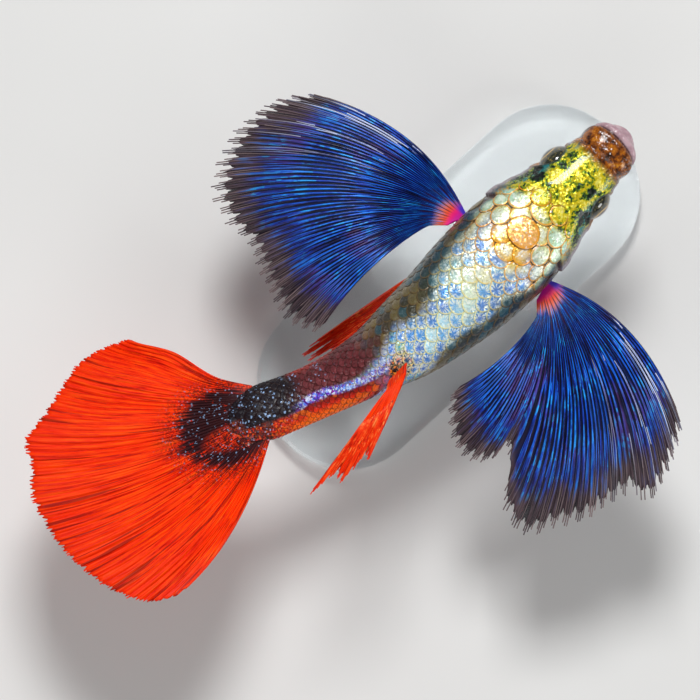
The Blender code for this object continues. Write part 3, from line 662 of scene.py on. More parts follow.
# %% [markdown]
# ## Back, flank and belly
# The real fields have ragged borders, so a slow noise shifts the share and the angle
# before they are read. Each field is a ramp along the body, and a tone that differs from
# scale to scale picks between two of them. Wide soft steps round the body then lay the
# flank beside the back and the belly below it.

# %% Fields of the trunk
markings, bench, given, result = new_group(
    "body_markings",
    [
        ("Share", "NodeSocketFloat", 0.5), ("Around", "NodeSocketFloat", 90.0),
        ("Tone", "NodeSocketFloat", 0.5),
    ],
    [("Colour", "NodeSocketColor"), ("Sparkle", "NodeSocketFloat"), ("Line", "NodeSocketFloat")],
)
place, tone = bench.place(), given["Tone"]
drift = place.noise(380.0, 3.0) - 0.5
share_in = given["Share"] + drift * 0.05
straight = abs(given["Around"] - 90.0)
from_back = straight + drift * 46.0
toward_side = from_back - share_in.band(0.34, 0.44, 13.0, 0.0)
toward_side = toward_side + share_in.band(0.42, 0.56, 0.0, 11.0)
fleck, bright = place.flecks(6800.0)

pale = share_in.ramp([
    (0.36, (0.9, 0.7, 0.26)), (0.46, (0.78, 0.9, 0.64)), (0.58, (0.5, 0.82, 0.95)),
    (0.68, (0.14, 0.52, 0.92)),
])
blue = share_in.ramp([
    (0.36, (0.42, 0.7, 0.72)), (0.46, (0.26, 0.6, 0.86)), (0.58, (0.12, 0.46, 0.86)),
    (0.68, (0.02, 0.16, 0.7)),
])
nape = tone.ramp([
    (0.0, (0.4, 0.74, 0.56)), (0.3, (0.8, 0.8, 0.34)), (0.6, (0.9, 0.52, 0.03)),
    (1.0, (0.92, 0.46, 0.13)),
])
back = bench.mix(tone.band(0.35, 0.75), pale, blue)
back = bench.mix(share_in.band(0.352, 0.375), nape, back)
side_blue = from_back.between(18.0, 42.0, 7.0) * share_in.between(0.31, 0.66, 0.03) * 0.7
back = bench.mix(
    side_blue, back,
    tone.ramp([(0.0, (0.03, 0.24, 0.36)), (0.6, (0.02, 0.15, 0.52)), (1.0, (0.12, 0.36, 0.55))]),
)
flank = share_in.ramp([
    (0.14, (0.03, 0.05, 0.04)), (0.24, (0.06, 0.07, 0.09)), (0.34, (0.025, 0.045, 0.055)),
    (0.5, (0.022, 0.03, 0.016)), (0.64, (0.045, 0.034, 0.016)), (0.72, (0.1, 0.025, 0.02)),
])
flank = bench.mix(tone.band(0.55, 0.95, 0.0, 0.8), flank, (0.19, 0.14, 0.035))
flank = bench.mix(tone.band(0.35, 0.05, 0.0, 0.8), flank, (0.015, 0.085, 0.11))
belly = share_in.ramp([
    (0.1, (0.45, 0.26, 0.2)), (0.3, (0.55, 0.5, 0.42)), (0.55, (0.42, 0.36, 0.24)),
    (0.72, (0.22, 0.07, 0.04)),
])
trunk = bench.mix(toward_side.band(27.0, 50.0), back, flank)
trunk = bench.mix(from_back.band(112.0, 150.0), trunk, belly)
print("trunk fields:", len(markings.nodes), "nodes so far")

# %% [markdown]
# ## The stalk of the tail
# On the stalk the colours don't follow the back. Their border turns down the left flank
# towards the tail, with glowing red above it and maroon below. So the angle is measured
# from that border, and a wedge of blue jewels starts the border on the trunk.

# %% Fields of the stalk
line_at = given["Share"].band(0.66, 0.86, 10.0, 63.0)
toward_back = line_at - straight + drift * 22.0
embers = toward_back.band(4.0, 46.0).ramp([
    (0.0, (0.2, 0.004, 0.003)), (0.4, (0.7, 0.022, 0.003)), (1.0, (1.0, 0.15, 0.005)),
])
embers = bench.mix(tone.band(0.6, 0.9) * 0.45, embers, (0.95, 0.2, 0.008))
embers = bench.mix(fleck.band(0.3, 0.1) * 0.45, embers, (0.12, 0.004, 0.002))
maroon = bench.mix(tone * 0.5 + fleck * 0.5, (0.06, 0.008, 0.01), (0.19, 0.035, 0.042))
dark = bench.mix(share_in.band(0.85, 0.89), maroon, PATCH_BLACK)
stalk = bench.mix(toward_back.band(-2.0, 8.0), dark, embers)
stalk = bench.mix(from_back.band(125.0, 160.0) * 0.8, stalk, (0.6, 0.03, 0.008))
colour = bench.mix(share_in.band(0.65, 0.73), trunk, stalk)

wedge = given["Share"].band(0.6, 0.79, 34.0, 4.0)
jewel = share_in.between(0.61, 0.78, 0.02) * toward_back.band(6.0, -4.0)
jewel = jewel * (toward_back + wedge).band(-15.0, 11.0)
jewel_tone = tone * 0.6 + fleck * 0.4
colour = bench.mix(
    jewel * 0.9, colour,
    jewel_tone.ramp([
        (0.1, (0.42, 0.5, 0.08)), (0.35, (0.06, 0.5, 0.7)), (0.6, (0.02, 0.17, 0.72)),
        (0.85, (0.66, 0.82, 0.9)),
    ]),
)
print("stalk fields:", len(markings.nodes), "nodes so far")

# %% [markdown]
# ## The line, the saddle and the join with the tail fin
# The strongest marks are painted last: a violet and blue line along the border, which is
# both the fish's own colour and a painted highlight along the upper flank, a black
# saddle under the dorsal fin, the crown, and the black patch that runs on over the fin.
# The group puts out the colour, where mirror flakes may flash, and the line itself.

# %% Line, saddle and join
SADDLE_SHARE = 0.664
# The violet and blue line is the fish's own colour and also a painted highlight along the upper
# flank.
line = toward_back.between(-13.0, 3.0, 4.0) * share_in.between(0.665, 0.885, 0.02)
colour = bench.mix(
    line * 0.92, colour,
    fleck.ramp([
        (0.0, (0.26, 0.006, 0.24)), (0.35, (0.12, 0.03, 0.6)), (0.65, (0.06, 0.24, 0.95)),
        (0.85, (0.66, 0.76, 1.0)),
    ]),
)
saddle_along = (given["Share"] - SADDLE_SHARE) * STANDARD_LENGTH
saddle = bench.vector(saddle_along, straight * DEGREE_WIDTH).length() + drift * 1.5
saddle = saddle.band(0.9, 1.35, 1.0, 0.0)
saddle_colour = bench.mix(fleck.band(0.62, 0.7), (0.01, 0.005, 0.004), (0.9, 0.26, 0.012))
colour = bench.mix(saddle, colour, saddle_colour)
crown_colour, crown_mask = use_group(bench, crown, Share=given["Share"], From_Back=straight)
colour = bench.mix(crown_mask, colour, crown_colour)
near_tail = given["Share"].band(0.88, 0.93)
patch_black, patch_spark = use_group(bench, tail_patch, Fray=place.noise(1600.0))
tail_red = bench.mix(fleck.band(0.5, 0.8), (0.62, 0.02, 0.003), (0.95, 0.14, 0.006))
colour = bench.mix(near_tail, colour, tail_red)
black_band = toward_back.band(8.0, -4.0) * share_in.between(0.87, 0.97, 0.02)
colour = bench.mix((near_tail * patch_black).at_least(black_band), colour, PATCH_BLACK)
night = share_in.between(0.8, 0.98, 0.03) * toward_back.band(10.0, -6.0) * bright.band(0.94, 0.97)
colour = bench.mix((night * 0.75).at_least(patch_spark), colour, (0.3, 0.46, 0.75))
bench.put(result["Colour"], colour)
flash = toward_side.band(28.0, 52.0, 1.0, 0.03) * share_in.between(0.22, 0.65, 0.03)
bench.put(result["Sparkle"], bench.maths("ADD", flash, jewel * 0.5, clamp=True))
bench.put(result["Line"], line)
print("markings group:", len(markings.nodes), "nodes")

# %% [markdown]
# ## The finish of the skin
# The bare skin shows on the head and between the fins. It starts from the markings and
# adds what only the head has: an amber snout with fine wet grains, pink jaws, painted
# shade in the slit of the mouth, grey violet cheeks, the lids and the shadow behind the
# gill covers. A thin clear coat makes it look wet. Under the scales the skin is painted
# dark, as the shade that falls between the scales.

# %% Skin: cheeks, snout and jaws
SKIN_GRAIN, GRAIN = 0.00005, 0.00003
skin_finish, bench, shader = new_material(
    "guppy_skin", coat_weight=0.35, coat_roughness=0.1, ior=1.4,
)
place = bench.place()
share_of, around_of = map(bench.attribute, ("share", "around"))
mouth_of, gill_of, ring_of = map(bench.attribute, ("mouth", "behind_gill", "eye_ring"))
speck_tone, _ = place.flecks(6200.0)
patchy = place.noise(1150.0, 4.0, 0.62)
colour = use_group(bench, markings, Share=share_of, Around=around_of, Tone=speck_tone)[0]
from_back = abs(around_of - 90.0)
cheek = from_back.band(62.0, 78.0) * share_of.band(0.285, 0.315, 1.0, 0.0)
cheek_colour = bench.mix(speck_tone, (0.20, 0.14, 0.165), (0.38, 0.31, 0.35))
cheek_colour = bench.mix(patchy.band(0.5, 0.68), cheek_colour, (0.26, 0.31, 0.42))
colour = bench.mix(cheek, colour, cheek_colour)
amber = place.noise(1900.0, 5.0, 0.74).ramp([
    (0.36, (0.01, 0.004, 0.001)), (0.45, (0.11, 0.024, 0.002)), (0.56, (0.36, 0.1, 0.004)),
    (0.7, (0.66, 0.3, 0.02)),
])
bowl = share_of.between(0.018, 0.036, 0.01) * 0.55
amber = bench.mix(bowl, amber, (0.10, 0.022, 0.002))
colour = bench.mix(share_of.band(0.082, 0.105, 1.0, 0.0), colour, amber)
pink = bench.mix(place.noise(1500.0, 2.0).band(0.3, 0.7), (0.36, 0.21, 0.25), (0.5, 0.34, 0.38))
jaw = mouth_of.band(-0.08, 0.06) * share_of.band(0.2, 0.24, 1.0, 0.0)
colour = bench.mix(jaw, colour, pink)
print("head colours:", len(skin_finish.node_tree.nodes), "nodes so far")

# %% Skin: slit, lids, gills and gloss
# Painted shade: the mouth's slit is darkened as if in shade.
slit = mouth_of.between(-0.07, 0.07, 0.05) * share_of.band(0.08, 0.1, 1.0, 0.0)
colour = bench.mix(slit, colour, (0.05, 0.012, 0.012))
lid = ring_of.between(0.9, 1.16, 0.05) * 0.9
lid_colour = bench.mix(from_back.band(52.0, 86.0), (0.01, 0.026, 0.024), (0.42, 0.24, 0.14))
colour = bench.mix(lid, colour, lid_colour)
gap = gill_of.between(-0.05, 0.3, 0.1) * from_back.band(45.0, 62.0)
colour = bench.mix(gap * 0.85, colour, (0.05, 0.02, 0.015))
# Painted shade: the skin behind the gills, under the scales, is darkened as the shade between them.
shade_under_scales = gill_of.band(0.2, 0.8) * share_of.band(0.9, 0.93, 0.75, 0.0)
colour = bench.mix(shade_under_scales, colour, (0.05, 0.022, 0.012))
bench.put(shader["Base Color"], colour)
shine = share_of.between(0.1, 0.24, 0.02) * from_back.band(60.0, 80.0, 1.0, 0.0)
bench.put(shader["Metallic"], shine * 0.45)
bench.put(shader["Roughness"], share_of.band(0.08, 0.1, 0.12, 0.34))
flakes = bench.glint(place, 9000.0, 0.5)
bench.put(shader["Normal"], bench.bump(place.noise(3200.0, 3.0), SKIN_GRAIN, 0.6, flakes))
shader["Subsurface Weight"].default_value = 0.08
shader["Subsurface Radius"].default_value = (0.0010, 0.0005, 0.0003)
skin.data.materials.append(skin_finish)
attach(skin, BODY)
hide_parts("head", "lower_jaw", "trunk_front", "trunk_rear", "tail_stalk")
print("skin finish:", len(skin_finish.node_tree.nodes), "nodes")

# %% [markdown]
# ## Eyes
# A guppy has no eyelids. The eye is a flattened ball in a socket, with a black pupil, a
# thin gold ring and a dark, flecked iris. A ball of fine rings carries its own number,
# the distance from the middle of the pupil, so the rings of colour stay round.

# %% Make the eyes
EYE_RINGS, EYE_SIDES = 40, 64


def make_eye(name, side):
    """A flattened ball of rings round the line from the pupil to the back."""
    polar, turn = np.meshgrid(
        np.linspace(0.004, math.pi - 0.004, EYE_RINGS),
        2 * math.pi * np.arange(EYE_SIDES) / EYE_SIDES, indexing="ij",
    )
    bulge = 1 + 0.1 * bell(polar, 0, 0.75)
    spots = np.stack([
        np.sin(polar) * np.cos(turn) * EYE_RADIUS,
        np.cos(polar) * EYE_HALF_DEPTH * bulge * side,
        np.sin(polar) * np.sin(turn) * EYE_RADIUS,
    ], -1) + eye_centre(side)
    flat = spots.reshape(-1, 3)
    faces = [list(f) for f in grid_faces(EYE_RINGS, EYE_SIDES, True)]
    faces.append(list(range(EYE_SIDES))[::-1])
    faces.append(list(range(len(flat) - EYE_SIDES, len(flat))))
    if side < 0:
        faces = [f[::-1] for f in faces]
    item = mesh_object(name, flat, faces)
    store(item, "from_pupil", np.where(polar < math.pi / 2, np.sin(polar), 2 - np.sin(polar)))
    return item


print("eye maker ready")

# %% Eye finish, and both eyes
eye_finish, bench, shader = new_material(
    "guppy_eye", roughness=0.12, coat_weight=1.0, coat_roughness=0.02, ior=1.4,
)
far = bench.attribute("from_pupil")
place = bench.place()
fleck = place.noise(4200.0, 4.0, 0.65)
iris = fleck.ramp([
    (0.35, (0.006, 0.007, 0.006)), (0.55, (0.03, 0.035, 0.02)), (0.68, (0.28, 0.2, 0.05)),
])
gold = bench.mix(fleck, (0.5, 0.27, 0.05), (0.85, 0.62, 0.25))
colour = bench.mix(far.band(0.5, 0.54), (0.002, 0.002, 0.003), gold)
lower = place.parts()[2].band((AXIS_HEIGHT + 0.6) * MM, (AXIS_HEIGHT - 0.2) * MM)
pearl = bench.mix(fleck, (0.20, 0.17, 0.12), (0.62, 0.56, 0.44))
colour = bench.mix(far.band(0.585, 0.62), colour, bench.mix(lower, iris, pearl))
bench.put(shader["Base Color"], colour)
bench.put(shader["Metallic"], far.between(0.52, 0.61, 0.02) * 0.6)
for word, side in (("left", 1), ("right", -1)):
    eye = make_eye(f"eyeball_{word}", side)
    eye.data.materials.append(eye_finish)
    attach(eye, BODY)
    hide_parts(f"eye_{word}")
print("eyes: 2, radius", EYE_RADIUS, "mm")

# %% [markdown]
# ## Scales
# Each scale is a thin round plate that grows from its front edge and lies over the next
# row like a roof tile. They could be modelled one by one, but they repeat, so Geometry
# Nodes lay them out: one vertex for each scale on a flat chart of the body, with its
# size, and one small plate to copy. The chart's own copy of the skin then tells every
# corner where it belongs, so the plates bend with the body.

# %% Where each scale grows
SCALE_COLUMNS = 18
TONE_SEED = 12
ROW_STEP = 0.52
PLATE_REACH = 0.56
FIRST_ROW, LAST_ROW = 0.212, 0.958
NAPE_END, NAPE_HALF_TURN = 0.352, 66
BIG_PLATE, BIG_LIFT, SMALL_LIFT = 1.2, 0.11, 0.01
# (share, degrees from the back's middle, half width in mm, tone) of each nape plate
NAPE_PLATES = (
    (0.222, 14, 0.85, 0.2), (0.222, 40, 0.8, 0.1), (0.240, 0, 0.98, 0.3), (0.2525, 29, 1.08, 0.05),
    (0.256, 52, 0.75, 0.0), (0.277, 13, 0.9, 0.35), (0.280, 46, 0.85, 0.1), (0.299, 0, 1.22, 1.0),
    (0.306, 29, 0.95, 0.25), (0.312, 54, 0.8, 0.1), (0.332, 14, 0.88, 0.75), (0.336, 41, 0.85, 0.4),
    (0.350, 0, 0.84, 0.6), (0.352, 27, 0.84, 0.5), (0.345, 60, 0.8, 0.15),
)


def girth(share):
    """The way round the body at a share, in millimetres."""
    loop = section_at(share, np.arange(0, 361, 5))
    return np.linalg.norm(np.diff(loop, axis=0), axis=1).sum()


def regular_plates():
    """(share, angle, half width, lift, tone) of the rows that run round the whole body."""
    plates, share, row = [], FIRST_ROW, 0
    draw = np.random.default_rng(TONE_SEED)
    while share < LAST_ROW:
        column_width = girth(share) / SCALE_COLUMNS
        for column in range(SCALE_COLUMNS):
            turn = -90 + 360 * (column + 0.5 * (row % 2)) / SCALE_COLUMNS
            from_back = abs((turn + 90) % 360 - 180)
            in_nape = from_back < NAPE_HALF_TURN and share < NAPE_END
            if share > coat_edge(turn) + 0.014 and not in_nape:
                plates.append((share, turn, PLATE_REACH * column_width, 0.0, draw.random()))
        share += ROW_STEP * column_width / STANDARD_LENGTH
        row += 1
    return plates, row


def nape_plates():
    """The large plates of the nape, placed one by one, the same on both sides."""
    plates = []
    for share, away, size, tone in NAPE_PLATES:
        lift = BIG_LIFT if size > BIG_PLATE else SMALL_LIFT
        for turn in sorted({90 + away, 90 - away}):
            plates.append((share, float(turn), size, lift, tone))
    return plates


row_plates, row_count = regular_plates()
all_plates = np.array(row_plates + nape_plates())
print("scales:", len(all_plates), "in", row_count, "rows and a nape of", len(nape_plates()))

# %% One plate to copy, and the chart
PLATE_TURNS = 16
PLATE_RADII = (0.4, 0.72, 0.92, 1.0)
PLATE_THICKNESS = 0.05
PLATE_RISE = 0.135


def make_plate():
    """A round plate of rings, highest at its rear edge, with a flat underside."""
    turn = 2 * math.pi * np.arange(PLATE_TURNS) / PLATE_TURNS
    rings = [np.stack([r * np.cos(turn), r * np.sin(turn)], 1) for r in PLATE_RADII]
    flat = np.vstack([np.zeros((1, 2))] + rings)
    far = np.linalg.norm(flat, axis=1)
    top = PLATE_RISE * (flat[:, 1] + 1) / 2 + 0.035 * (1 - far**2) - 0.02 * (far > 0.95)
    under = PLATE_RISE * (rings[-1][:, 1] + 1) / 2 - PLATE_THICKNESS
    points = np.vstack([np.column_stack([flat, top]), np.column_stack([rings[-1] * 0.985, under])])
    faces = [[0, 1 + k, 1 + (k + 1) % PLATE_TURNS] for k in range(PLATE_TURNS)]
    strips = grid_faces(len(PLATE_RADII) + 1, PLATE_TURNS, True)[:, ::-1] + 1
    faces += strips.tolist()
    last = 1 + len(PLATE_RADII) * PLATE_TURNS
    faces.append([last + k for k in range(PLATE_TURNS)][::-1])
    plate = mesh_object("plate", points / MM, faces)
    store(plate, "plate_x", points[:, 0])
    store(plate, "plate_y", points[:, 1])
    store(plate, "under", (np.arange(len(points)) >= last).astype(float))
    return plate


def make_chart():
    """A stretch of the skin whose UV map is its flat plan, past both sides of the seam."""
    u, v = np.linspace(-0.08, 1.08, 260), np.linspace(0.16, 1.0, 300)
    v_grid, u_grid = np.meshgrid(v, u, indexing="ij")
    turn = -90 + 360 * u_grid
    chart = mesh_object(
        "chart", body_at(v_grid, turn, 0.01 - COAT_DEPTH).reshape(-1, 3),
        grid_faces(len(v), len(u), False),
    )
    set_uv(chart, "plan", np.stack([u_grid.ravel(), v_grid.ravel()], 1)[point_of_corner(chart)])
    layer = chart.data.attributes.new("out", "FLOAT_VECTOR", "POINT")
    layer.data.foreach_set("vector", outward_at(v_grid, turn).astype(np.float32).ravel())
    return chart


plate, chart = make_plate(), make_chart()
print("a plate has", triangles(plate), "triangles")

# %% [markdown]
# ## Laying the plates
# The tree works in two stages. First it copies the plate onto every point of the flat
# plan, at its own size. Then each corner of each plate looks up its place on the chart,
# where the plan's x and y stand for a spot on the body, and rises from it by its own
# height. Laying the copies straight on the body would leave flat plates that stick out.

# %% A bench for geometry
class Flow(Bench):
    """The same bench for geometry, with the tree's own inputs and output."""

    def __init__(self, name, inputs):
        tree = bpy.data.node_groups.new(name, "GeometryNodeTree")
        super().__init__(tree)
        self.ids = {}
        tree.interface.new_socket("Geometry", in_out="OUTPUT", socket_type="NodeSocketGeometry")
        tree.interface.new_socket("Geometry", in_out="INPUT", socket_type="NodeSocketGeometry")
        for label, kind in inputs:
            socket = tree.interface.new_socket(label, in_out="INPUT", socket_type=kind)
            self.ids[label] = socket.identifier
        self.given = given_to(self)
        self.end = tree.nodes.new("NodeGroupOutput").inputs

    def named(self, name, kind="FLOAT"):
        return self.node("GeometryNodeInputNamedAttribute", {"Name": name}, data_type=kind)

    def run(self, item, name, **values):
        """Runs the tree on an object and returns the result as a plain mesh object."""
        modifier = item.modifiers.new("flow", "NODES")
        modifier.node_group = self.tree
        for label, value in values.items():
            modifier[self.ids[label]] = value
        graph = bpy.context.evaluated_depsgraph_get()
        graph.update()
        mesh = bpy.data.meshes.new_from_object(
            item.evaluated_get(graph), preserve_all_data_layers=True, depsgraph=graph,
        )
        item.modifiers.remove(modifier)
        mesh.name = name
        made = bpy.data.objects.new(name, mesh)
        bpy.context.scene.collection.objects.link(made)
        return made


print("a flow can be built and run")

# %% Copies of the plate on the flat plan
lay_scales = Flow(
    "lay_scales",
    [
        ("Plate", "NodeSocketObject"), ("Chart", "NodeSocketObject"), ("Height", "NodeSocketFloat"),
        ("Finish", "NodeSocketMaterial"),
    ],
)
flow, given = lay_scales, lay_scales.given
plate_shape = flow.node("GeometryNodeObjectInfo", {"Object": given["Plate"]}, output="Geometry")
chart_shape = flow.node("GeometryNodeObjectInfo", {"Object": given["Chart"]}, output="Geometry")
size = flow.vector(flow.named("wide"), flow.named("long"), 1.0)
copies = flow.node(
    "GeometryNodeInstanceOnPoints",
    {"Points": given["Geometry"], "Instance": plate_shape, "Scale": size},
)
loose = flow.node("GeometryNodeRealizeInstances", {"Geometry": copies})
position = flow.node("GeometryNodeInputPosition")
x, y, z = position.parts()
print("plan tree:", len(flow.tree.nodes), "nodes so far")

# %% From the plan onto the body
samples = []
for value in (position, flow.named("out", "FLOAT_VECTOR")):
    values = {"Mesh": chart_shape, "UV Map": flow.named("plan", "FLOAT_VECTOR")}
    sample = flow.node("GeometryNodeSampleUVSurface", values, "Value", data_type="FLOAT_VECTOR")
    flow.put(sample.socket.node.inputs["Value"], value)
    flow.put(sample.socket.node.inputs["Sample UV"], flow.vector(x, y))
    samples.append(sample)
rise = flow.vectors("SCALE", samples[1], (z + flow.named("lift")) * given["Height"])
spot = flow.vectors("ADD", samples[0], rise)
marked = loose
for label, value in (("share", y), ("around", x * 360.0 - 90.0)):
    values = {"Geometry": marked, "Name": label, "Value": value}
    marked = flow.node("GeometryNodeStoreNamedAttribute", values, data_type="FLOAT")
laid = flow.node("GeometryNodeSetPosition", {"Geometry": marked, "Position": spot})
finished = flow.node("GeometryNodeSetMaterial", {"Geometry": laid, "Material": given["Finish"]})
flow.put(flow.end["Geometry"], finished)
print("scale tree:", len(flow.tree.nodes), "nodes")

# %% [markdown]
# ## The finish of the scales
# A guppy's scale is clear over a layer of tiny mirrors. It looks pale or blue in the
# middle, with fine lines that spread like the spokes of a fan, a thin yellow rim and a
# dark edge where the next one lies below it. Each plate knows its own x and y, so these
# patterns are drawn in the plate's own round plan.

# %% Strokes on the back scales
def back_strokes(bench, colour, tone, near, spokes, on_back):
    """Blue petals that spread like a fan, and a pale halo between them."""
    lively = (bench.place().noise(420.0, 2.0) + tone * 0.4).band(0.54, 0.82, 0.1, 1.0)
    petals = (spokes - near * 0.5).band(0.15, 0.34) * on_back * lively
    petal_colour = tone.ramp([
        (0.0, (0.34, 0.7, 0.92)), (0.35, (0.12, 0.46, 0.88)), (0.7, (0.05, 0.26, 0.74)),
        (1.0, (0.1, 0.16, 0.58)),
    ])
    colour = bench.mix(petals * 0.72, colour, petal_colour)
    halo = near.between(0.3, 0.8, 0.2) * on_back * spokes.band(0.54, 0.44) * 0.85
    return bench.mix(halo, colour, (0.94, 0.97, 0.78))


print("strokes ready")


# %% Bloom of the nape scales
def nape_bloom(bench, colour, tone, far, on_nape):
    """A milky middle, with cream and ochre mottling over it."""
    milky = on_nape * far.band(0.8, 0.15) * tone.band(0.9, 0.6) * 0.7
    colour = bench.mix(milky, colour, (0.84, 0.94, 0.80))
    mottle = bench.place().noise(2400.0, 4.0, 0.7)
    colour = bench.mix(on_nape * mottle.band(0.54, 0.66) * 0.85, colour, (1.0, 0.97, 0.84))
    return bench.mix(on_nape * mottle.band(0.46, 0.34) * 0.75, colour, (0.5, 0.34, 0.02))


print("bloom ready")


# %% Rim and edge of a scale
def rim_colour(bench, marks, sparkle, share_of):
    """Yellow on the back and orange at the nape; dark on the flank and the stalk."""
    lit_rim = bench.mix(share_of.band(0.35, 0.47), (0.92, 0.36, 0.012), (0.88, 0.8, 0.3))
    stalk_rim = bench.mix(0.7, marks, (0.02, 0.004, 0.003))
    dim_rim = bench.mix(share_of.band(0.66, 0.72), (0.1, 0.055, 0.018), stalk_rim)
    return bench.mix(sparkle, dim_rim, lit_rim)


def edge_in(bench, colour, far, under, on_back, on_nape):
    """The dark edge where a scale meets the next one, and its whole underside."""
    edge = far.band(0.94, 0.98).at_least(under) * (0.9 - on_back * 0.72)
    edge_colour = bench.mix(on_nape, (0.045, 0.016, 0.004), (0.36, 0.11, 0.006))
    return bench.mix(edge, colour, edge_colour)


print("rim and edge ready")


# %% Scale finishes
def scale_material(name, **numbers):
    """Markings, strokes, bloom, rim, edge and a few mirror flakes, in that order; the flakes are
    painted glints.
    """
    finish, bench, shader = new_material(name, coat_roughness=0.08, ior=1.45, **numbers)
    place = bench.place()
    plate_x, plate_y, under = map(bench.attribute, ("plate_x", "plate_y", "under"))
    tone, share_of, around_of = map(bench.attribute, ("tone", "share", "around"))
    marks, sparkle, line = use_group(bench, markings, Share=share_of, Around=around_of, Tone=tone)
    far = bench.vector(plate_x, plate_y).length()
    seen_y = plate_y - share_of.band(0.352, 0.37, 0.05, 0.4)
    near = bench.vector(plate_x, seen_y).length()
    spoke = bench.maths("ARCTAN2", plate_x, seen_y)
    spokes = bench.vector(spoke * 1.5, near * 0.8, tone * 31.0).noise(2.2, 2.0, 0.7)
    grain = place.noise(5200.0, 3.0, 0.6)
    _, bright = place.flecks(7000.0)
    on_back = sparkle * share_of.band(0.352, 0.38)
    on_nape = sparkle * share_of.band(0.352, 0.37, 1.0, 0.0) * share_of.band(0.235, 0.26)
    colour = back_strokes(bench, marks, tone, near, spokes, on_back)
    colour = nape_bloom(bench, colour, tone, far, on_nape)
    colour = bench.mix(grain.band(0.5, 0.3) * 0.3, colour, (0.03, 0.03, 0.04), "MULTIPLY")
    rim = far.between(0.82, 0.94, 0.03) * 0.8
    colour = bench.mix(rim, colour, rim_colour(bench, marks, sparkle, share_of))
    colour = edge_in(bench, colour, far, under, on_back, on_nape)
    # Painted glints: near-white specks in the colour where mirror flakes would flash, strongest on
    # the back, the jewels and the line.
    shine = bright.band(0.9, 0.94) * sparkle.at_least(line.at_least(0.06))
    bench.put(shader["Base Color"], bench.mix(shine * 0.45, colour, (0.92, 0.98, 1.0)))
    bench.put(shader["Metallic"], sparkle * 0.15 + 0.15)
    flakes = bench.glint(place, 7500.0, 0.34)
    bench.put(shader["Normal"], bench.bump(spokes + grain, GRAIN, 0.7, flakes))
    return finish


trunk_finish = scale_material("guppy_scales", roughness=0.3, coat_weight=0.25)
stalk_finish = scale_material(
    "guppy_stalk_scales", roughness=0.42, coat_weight=0.1, specular_ior_level=0.2,
)
print("scale finish:", len(trunk_finish.node_tree.nodes), "nodes")

# %% Lay the scales
MAP_MARGIN = 0.02
STALK_START = 0.72
KNOWN_SHARES = np.linspace(0.2, 1.0, 60)
KNOWN_GIRTHS = [girth(share) for share in KNOWN_SHARES]


def read(item, name):
    values = np.empty(len(item.data.vertices), np.float32)
    item.data.attributes[name].data.foreach_get("value", values)
    return values


def add_bake_map(item, chosen):
    """Each plate gets its own patch at its place on the skin's flat plan."""
    low, high = chosen[:, 0].min() - MAP_MARGIN, chosen[:, 0].max() + MAP_MARGIN
    girths = np.interp(read(item, "root_share"), KNOWN_SHARES, KNOWN_GIRTHS)
    half_row = 0.5 * ROW_STEP * girths / SCALE_COLUMNS / STANDARD_LENGTH
    hidden = read(item, "under")
    x = read(item, "plate_x") * (0.42 - 0.3 * hidden) / SCALE_COLUMNS
    y = read(item, "plate_y") * (0.86 - 0.6 * hidden) * half_row
    u = ((read(item, "root_around") + 90) / 360 + x) * (1 - 2 * MAP_MARGIN) + MAP_MARGIN
    v = (read(item, "root_share") + y - low) / (high - low)
    set_uv(item, "OFBake", np.stack([u, v], 1)[point_of_corner(item)])


def lay(name, chosen, finish):
    """One point on the plan for each plate; the flow turns them into plates on the body."""
    share, turn, half_width, lift, tone = chosen.T
    plan = np.column_stack([(turn + 90) / 360, share, 0 * share])
    seeds = mesh_object(name + "_seeds", plan / MM, [])
    for label, values in (
        ("wide", half_width / np.array([girth(s) for s in share])),
        ("long", half_width / STANDARD_LENGTH), ("lift", lift), ("root_share", share),
        ("root_around", turn), ("tone", tone),
    ):
        store(seeds, label, values)
    scales = lay_scales.run(seeds, name, Plate=plate, Chart=chart, Height=1.0 * MM, Finish=finish)
    bpy.data.objects.remove(seeds)
    add_bake_map(scales, chosen)
    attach(scales, BODY)
    print(name, len(chosen), "plates,", triangles(scales), "triangles")


on_stalk = all_plates[:, 0] > STALK_START
lay("trunk_scales", all_plates[~on_stalk], trunk_finish)
lay("stalk_scales", all_plates[on_stalk], stalk_finish)
for helper in (plate, chart):
    bpy.data.objects.remove(helper)

# %% [markdown]
# ## Fins
# A fin is a skin stretched over bony rays that fork on their way out. Its surface is
# one formula here: a share across the fin and a share along the ray give a point. The
# membrane is a fine closed sheet of that surface, and the rays are lines drawn on it.
# A cloth simulation could make the folds, but the photo shows where they lie.

# %% Tools for fin surfaces
STEM_REACH, WAVE_START = 0.1, 0.15


def plan_direction(angle):
    """A level direction, by its angle in plan from the fish's front."""
    turn = np.radians(angle)
    return np.stack([np.cos(turn), np.sin(turn), np.zeros_like(turn)], -1)


def wave(across, t, height, count):
    """Soft folds across the fin that grow towards its margin."""
    return height * np.cos(2 * math.pi * count * across) * ease((t - WAVE_START) / (1 - WAVE_START))


def on_bezier(root, control, tip, stem, t):
    """A bowed ray from root to tip, moved by the stem just past its root."""
    t = t[..., None]
    bowed = root * (1 - t) ** 2 + control * 2 * t * (1 - t) + tip * t ** 2
    return bowed + stem * ease(t / STEM_REACH)


def raised(points, height):
    points = points.copy()
    points[..., 2] += height
    return points


def tips_at(tips, across, height):
    """Points through the tips, given as (place across, x, y), at one height."""
    flat = [curve_at([(row[0], row[k]) for row in tips], across) for k in (1, 2)]
    return np.stack([*flat, height + 0 * across], -1)


print("fin tools ready")

# %% [markdown]
# ## The side fins
# Both pectoral fins spread like fans from a short base on the flank and lie in a shallow
# bowl. Their margins were measured in plan: pairs of an angle and a distance from the
# base. They aren't mirror images, because the fish holds them differently.

